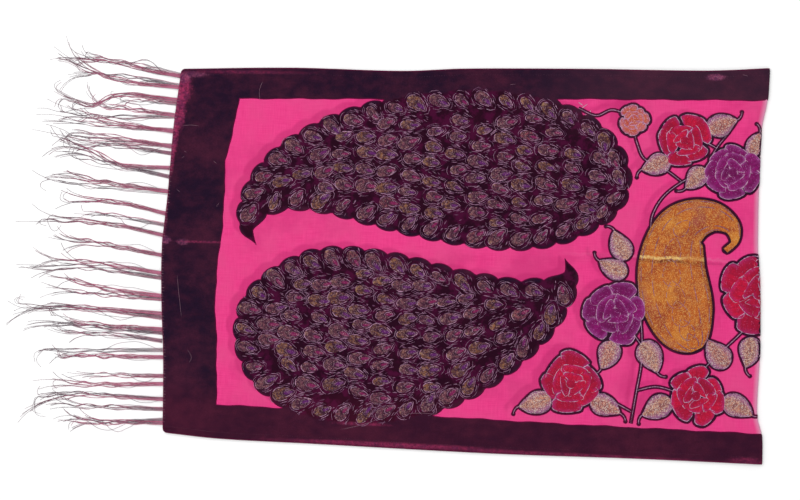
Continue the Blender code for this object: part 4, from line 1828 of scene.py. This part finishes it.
# Fringe: tone, threads, points from the root to the tip
fringeBundles = {
    "fringeUpper": [
        (0.12, 14, [(0, 245), (-44, 252), (-83, 262), (-114, 267), (-145, 268), (-190, 277)]),
        (0.15, 13, [(-3, 229), (-74, 236), (-128, 251), (-184, 280)]),
        (0.10, 13, [(-5, 211), (-86, 218), (-133, 201), (-205, 226)]),
        (0.15, 13, [(-5, 189), (-85, 199), (-110, 201), (-140, 223)]),
        (0.10, 13, [(-8, 166), (-84, 176), (-140, 189), (-180, 199)]),
        (0.20, 13, [(-7, 144), (-83, 155), (-160, 161), (-172, 151)]),
        (0.45, 11, [(-12, 114), (-81, 118), (-133, 139), (-228, 160)]),
        (0.10, 13, [(-11, 81), (-105, 92), (-174, 103), (-210, 98)]),
        (0.12, 14, [(-14, 50), (-78, 63), (-162, 70), (-191, 74)]),
        (0.15, 14, [(-14, 19), (-102, 34), (-228, 40)]),
        (0.12, 14, [(-17, -9), (-126, 7), (-190, 5)]),
        (0.15, 14, [(-18, -34), (-109, -23), (-206, -19)]),
        (0.12, 13, [(-16, -66), (-97, -58), (-193, -37)]),
        (0.20, 13, [(-12, -91), (-133, -86), (-216, -84), (-226, -98)]),
        (0.12, 13, [(-13, -113), (-112, -110), (-178, -103)]),
        (0.12, 14, [(-8, -152), (-113, -154), (-146, -158), (-188, -171)]),
        (0.12, 14, [(-6, -189), (-127, -194), (-197, -182)]),
        (0.15, 13, [(-6, -210), (-127, -209), (-184, -216), (-208, -202)]),
        (0.10, 14, [(-5, -243), (-108, -244), (-142, -236), (-154, -245)]),
    ],
    "fringeLower": [
        (1.00, 4, [(0, 247), (-68, 262), (-124, 268), (-160, 280)]),
        (1.00, 5, [(-3, 232), (-77, 244), (-167, 247)]),
        (0.70, 6, [(-7, 206), (-60, 211), (-101, 214)]),
        (1.00, 5, [(-6, 187), (-151, 186), (-224, 196)]),
        (0.60, 6, [(-8, 168), (-90, 172), (-150, 178), (-205, 194)]),
        (0.90, 6, [(-9, 146), (-120, 152), (-210, 170)]),
        (0.85, 9, [(-9, 135), (-98, 145), (-171, 139)]),
        (0.85, 9, [(-11, 102), (-81, 116), (-184, 136)]),
        (1.00, 2, [(-11, 79), (-120, 86), (-228, 95)]),
        (0.90, 6, [(-15, 34), (-80, 44), (-150, 52)]),
        (0.80, 8, [(-17, -41), (-137, -30), (-222, -49)]),
        (0.50, 8, [(-13, -71), (-101, -67), (-164, -64), (-172, -82)]),
        (0.60, 8, [(-12, -97), (-100, -89), (-226, -86)]),
        (0.50, 8, [(-12, -118), (-99, -113), (-208, -106)]),
        (0.75, 8, [(-12, -129), (-74, -123), (-176, -123)]),
        (1.00, 5, [(-9, -142), (-81, -145), (-153, -148), (-201, -148)]),
        (0.50, 9, [(-6, -178), (-80, -180), (-144, -182)]),
        (0.60, 8, [(-6, -224), (-118, -224), (-185, -218)]),
        (0.70, 6, [(-5, -239), (-90, -247), (-169, -250)]),
    ],
}
thread = {
    "radius": 0.27,
    "rootSpread": 5.9,    # width of a bundle at the cloth
    "lockWidth": 0.8,     # the threads of a bundle cling together in locks
    "tipSpread": 7.0,     # how far the locks wander apart
    "curl": 0.9,          # how far a loose end turns, in radians
    "hook": 2.3,          # the same for the few ends that hook round
    "tuckIn": 4.0,        # length of a root under the cloth's edge
    "hooked": 0.22,       # share of the locks that hook round
    "stations": 34,
    "sides": 4,
    "step": 2.0,          # between the points of a bundle's own line
    # least and most for a lock: lengths as shares of the bundle's line, waves in radians along it
    "lockLength": (0.80, 1.05),
    "swayFrom": (0.30, 0.60),
    "waves": (18, 40),
    "waveHeight": (0.6, 1.8),
    "hookedFrom": (0.87, 0.93),
    "looseFrom": (0.72, 0.88),
    # and for a thread: its length in its lock, its own small waves, a stray one's bow
    "greyLength": (0.90, 1.05),
    "crimsonLength": (0.68, 1.0),
    "smallWave": (0.2, 0.6),
    "smallWaves": (30, 60),
    "bow": (4, 13),
}


def newLock(share, hooked, chance):
    # how one lock of a bundle lies: its length, sway, waves and loose end
    return {
        "share": share,
        "length": chance.uniform(*thread["lockLength"]),
        "sway": chance.uniform(-1, 1) * thread["tipSpread"],
        "swayFrom": chance.uniform(*thread["swayFrom"]),
        "waves": chance.uniform(*thread["waves"]),
        "phase": chance.uniform(0, 6),
        "waveHeight": chance.uniform(*thread["waveHeight"]),
        "curl": chance.choice((-1, 1)) * (thread["hook"] if hooked else chance.uniform(0, thread["curl"])),
        "free": chance.uniform(*thread["hookedFrom" if hooked else "looseFrom"]),
    }


def looseEnd(s, line, lock, chance):
    # the loose end curls off on its own
    free = max(4, int(np.searchsorted(s, lock["free"] * lock["length"])))
    if free >= len(s):
        return
    stride = np.linalg.norm(line[free - 1] - line[free - 2]) / (s[free - 1] - s[free - 2])
    heading = math.atan2(*(line[free - 1] - line[free - 3])[::-1])
    bending = lock["curl"] * chance.uniform(0.8, 1.2) / (lock["length"] * (1 - lock["free"]))
    for i in range(free, len(s)):
        onward = s[i] - s[i - 1]
        heading += bending * onward * (1 + 0.9 * math.sin(1.3 * i))
        line[i] = line[i - 1] + stride * onward * np.array([math.cos(heading), math.sin(heading)])


def threadLine(middle, share, lock, grey, stray, chance):
    # one thread of a lock seen from above, and how far along the bundle each point is
    length = lock["length"] * chance.uniform(*thread["greyLength" if grey else "crimsonLength"])
    s = length * (1 - (1 - np.linspace(0, 1, thread["stations"])) ** 1.3)
    at = s * (len(middle) - 1)
    line = readRows(at, np.arange(len(middle)), middle)
    onward = (middle[-1] - middle[-4]) / 3
    line += onward * np.clip(at - (len(middle) - 1), 0, None)[:, None]
    left = sideways(line)[0]
    # the root is a flat ribbon, and further out its threads gather into locks
    gathered = smooth((s - 0.18) / 0.4)
    aside = thread["rootSpread"] * (share + (lock["share"] - share) * gathered)
    aside = aside * (1 - 0.15 * smooth(s / 0.06) + 0.35 * smooth((s - 0.12) / 0.5))
    aside = aside + lock["sway"] * smooth((s - lock["swayFrom"]) / (1 - lock["swayFrom"])) ** 1.3
    # a lock's waves and the thread's own die down before the loose end
    calm = 0.15 + 0.85 * smooth((lock["free"] * lock["length"] - s) / 0.14)
    wave = lock["waveHeight"] * np.sin(s * lock["waves"] + lock["phase"])
    aside = aside + wave * smooth((s - 0.1) / 0.5) * calm
    width = thread["lockWidth"] * (0.4 + 1.8 * smooth((s - 0.5) / 0.5)) * gathered
    aside = aside + chance.uniform(-1, 1) * width
    height, rate = chance.uniform(*thread["smallWave"]), chance.uniform(*thread["smallWaves"])
    aside = aside + height * np.sin(s * rate + lock["phase"]) * smooth(s / 0.3) * calm
    if stray:
        start = chance.uniform(0.02, 0.35)
        bow = np.clip((s - start) / chance.uniform(0.25, 0.5), 0, 1)
        aside = aside + chance.choice((-1, 1)) * chance.uniform(*thread["bow"]) * np.sin(math.pi * bow)
    line = line + left * aside[:, None]
    looseEnd(s, line, lock, chance)
    return s, line


def threadTube(s, line, rootHeight, k):
    # points round a thread, which comes down from the cloth's edge and lies in up to three layers
    sides, full = thread["sides"], thread["radius"]
    left = sideways(line)[0]
    rest = full + 0.05 + 0.9 * (k % 3) * full * (1 - smooth((s - 0.2) / 0.6))
    z = rest + (rootHeight - rest) * (1 - smooth(s / 0.38)) + 0.15 * np.abs(np.sin(s * 20 + k))
    radius = full * (1 - 0.35 * smooth((s - 0.8) / 0.2))
    ring = []
    for c in range(sides):
        a = math.pi / 4 + c * 2 * math.pi / sides
        side = left * (math.cos(a) * radius)[:, None]
        ring.append(np.column_stack([line + side, z + math.sin(a) * radius]))
    return np.stack(ring, axis=1).reshape(-1, 3)


def threadTubes(bundles, rootHeight, chance):
    points, faces, local = [], [], []
    perThread = thread["stations"] * thread["sides"]
    for tone, count, route in bundles:
        route = np.array(route, float)
        inward = (route[0] - route[1]) / np.linalg.norm(route[0] - route[1])
        middle = curveThrough([route[0] + inward * thread["tuckIn"], *route], thread["step"])
        lockCount = 4 if count > 10 else 3 if count > 5 else 2
        locks = []
        for k in range(lockCount):
            locks.append(newLock((k + 0.5) / lockCount - 0.5, chance.random() < thread["hooked"], chance))
        # a bundle's last thread strays
        for k in range(count + 3):
            stray = k == count + 2
            grey = stray or chance.random() < 0.26 + 0.6 * tone
            share = chance.uniform(-0.5, 0.5) if stray else k / (count + 1) - 0.5
            lock = newLock(share, False, chance) if stray else locks[k * lockCount // (count + 2)]
            s, line = threadLine(middle, share, lock, grey, stray, chance)
            faces += tubeFaces(thread["stations"], thread["sides"], perThread * len(points))
            points.append(threadTube(s, line, rootHeight, k))
            run = np.repeat(s * len(middle) * thread["step"], thread["sides"])
            own = np.full(perThread, chance.random())
            local.append(np.column_stack([run, np.full(perThread, float(grey)), own]))
    return np.vstack(points), faces, np.vstack(local)


# height of the roots in mm, seed, node of the CAD solid
fringeEnds = {
    "fringeUpper": (2.5, 41, "fringe_upper_end"),
    "fringeLower": (0.9, 43, "fringe_lower_end"),
}
for name, (rootHeight, seed, node) in fringeEnds.items():
    points, faces, local = threadTubes(fringeBundles[name], rootHeight, random.Random(seed))
    piece = newPiece(name, points, faces, looks["thread"], {"local": local})
    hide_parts(node)
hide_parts("scarf_cloth")
print("fringe made")


# Floor, lamps and camera, in metres
studio = {
    "floorSize": 6.0,
    "floorHeight": -0.00008,      # just under what rests on it
    "floorTones": ((0.93, 0.93, 0.93, 1), (0.96, 0.96, 0.96, 1)),
    "skyStrength": 0.80,
    "keyEnergy": 34.0,
    "keySize": 2.6,
    "keyPlace": (-0.7, 0.6, 2.4),
    "cameraAim": (322.5, 7.0),    # on the cloth, in millimetres
    "cameraDistance": 1.785,
    "cameraTiltX": 7.3,
    "cameraTiltY": 3.5,
    "cameraRoll": 2.0,
    "cameraLens": 58.5,
}


def floorMaterial():
    material, tree, shader = newMaterial("paperFloor", 0.9, 0.0, (1, 1, 1, 1), 0.1)
    grain = noiseAt(tree, placeOn(tree), 500.0)
    color = blendColors(tree, grain, *studio["floorTones"])
    fillInputs(tree, shader, {"Base Color": color})
    return material


floorMesh = bpy.data.meshes.new("floor")
reach = studio["floorSize"] / 2
corners = [(-reach, -reach), (reach, -reach), (reach, reach), (-reach, reach)]
floorMesh.from_pydata([(x, y, studio["floorHeight"]) for x, y in corners], [], [(0, 1, 2, 3)])
floorMesh.materials.append(floorMaterial())
floor = bpy.data.objects.new("floor", floorMesh)
bpy.context.scene.collection.objects.link(floor)

sky = bpy.data.worlds.new("studioSky")
sky.use_nodes = True
sky.node_tree.nodes["Background"].inputs["Color"].default_value = (1, 1, 1, 1)
sky.node_tree.nodes["Background"].inputs["Strength"].default_value = studio["skyStrength"]
bpy.context.scene.world = sky

lamp = bpy.data.lights.new("softKey", "AREA")
lamp.shape = "SQUARE"
lamp.size = studio["keySize"]
lamp.energy = studio["keyEnergy"]
key = bpy.data.objects.new("softKey", lamp)
key.location = studio["keyPlace"]
key.rotation_mode = "QUATERNION"
key.rotation_quaternion = (Vector((0.0, 0.0, 0.0)) - key.location).to_track_quat("-Z", "Y")
bpy.context.scene.collection.objects.link(key)


def makeCamera():
    tiltX, tiltY, roll = (math.radians(studio[k]) for k in ("cameraTiltX", "cameraTiltY", "cameraRoll"))
    back = Vector((math.tan(tiltX), -math.tan(tiltY), 1.0)).normalized()
    leaning = Vector((-math.sin(roll), math.cos(roll), 0.0))
    right = leaning.cross(back).normalized()
    up = back.cross(right)
    aim = Vector(spotAt(*studio["cameraAim"]))
    data = bpy.data.cameras.new("photoCamera")
    data.lens = studio["cameraLens"]
    data.sensor_width = 36.0
    camera = bpy.data.objects.new("photoCamera", data)
    where = aim + back * studio["cameraDistance"]
    camera.matrix_world = Matrix((
        (right.x, up.x, back.x, where.x),
        (right.y, up.y, back.y, where.y),
        (right.z, up.z, back.z, where.z),
        (0, 0, 0, 1),
    ))
    bpy.context.scene.collection.objects.link(camera)
    bpy.context.scene.camera = camera


makeCamera()
bpy.context.scene.view_settings.view_transform = "Standard"
print("studio made")
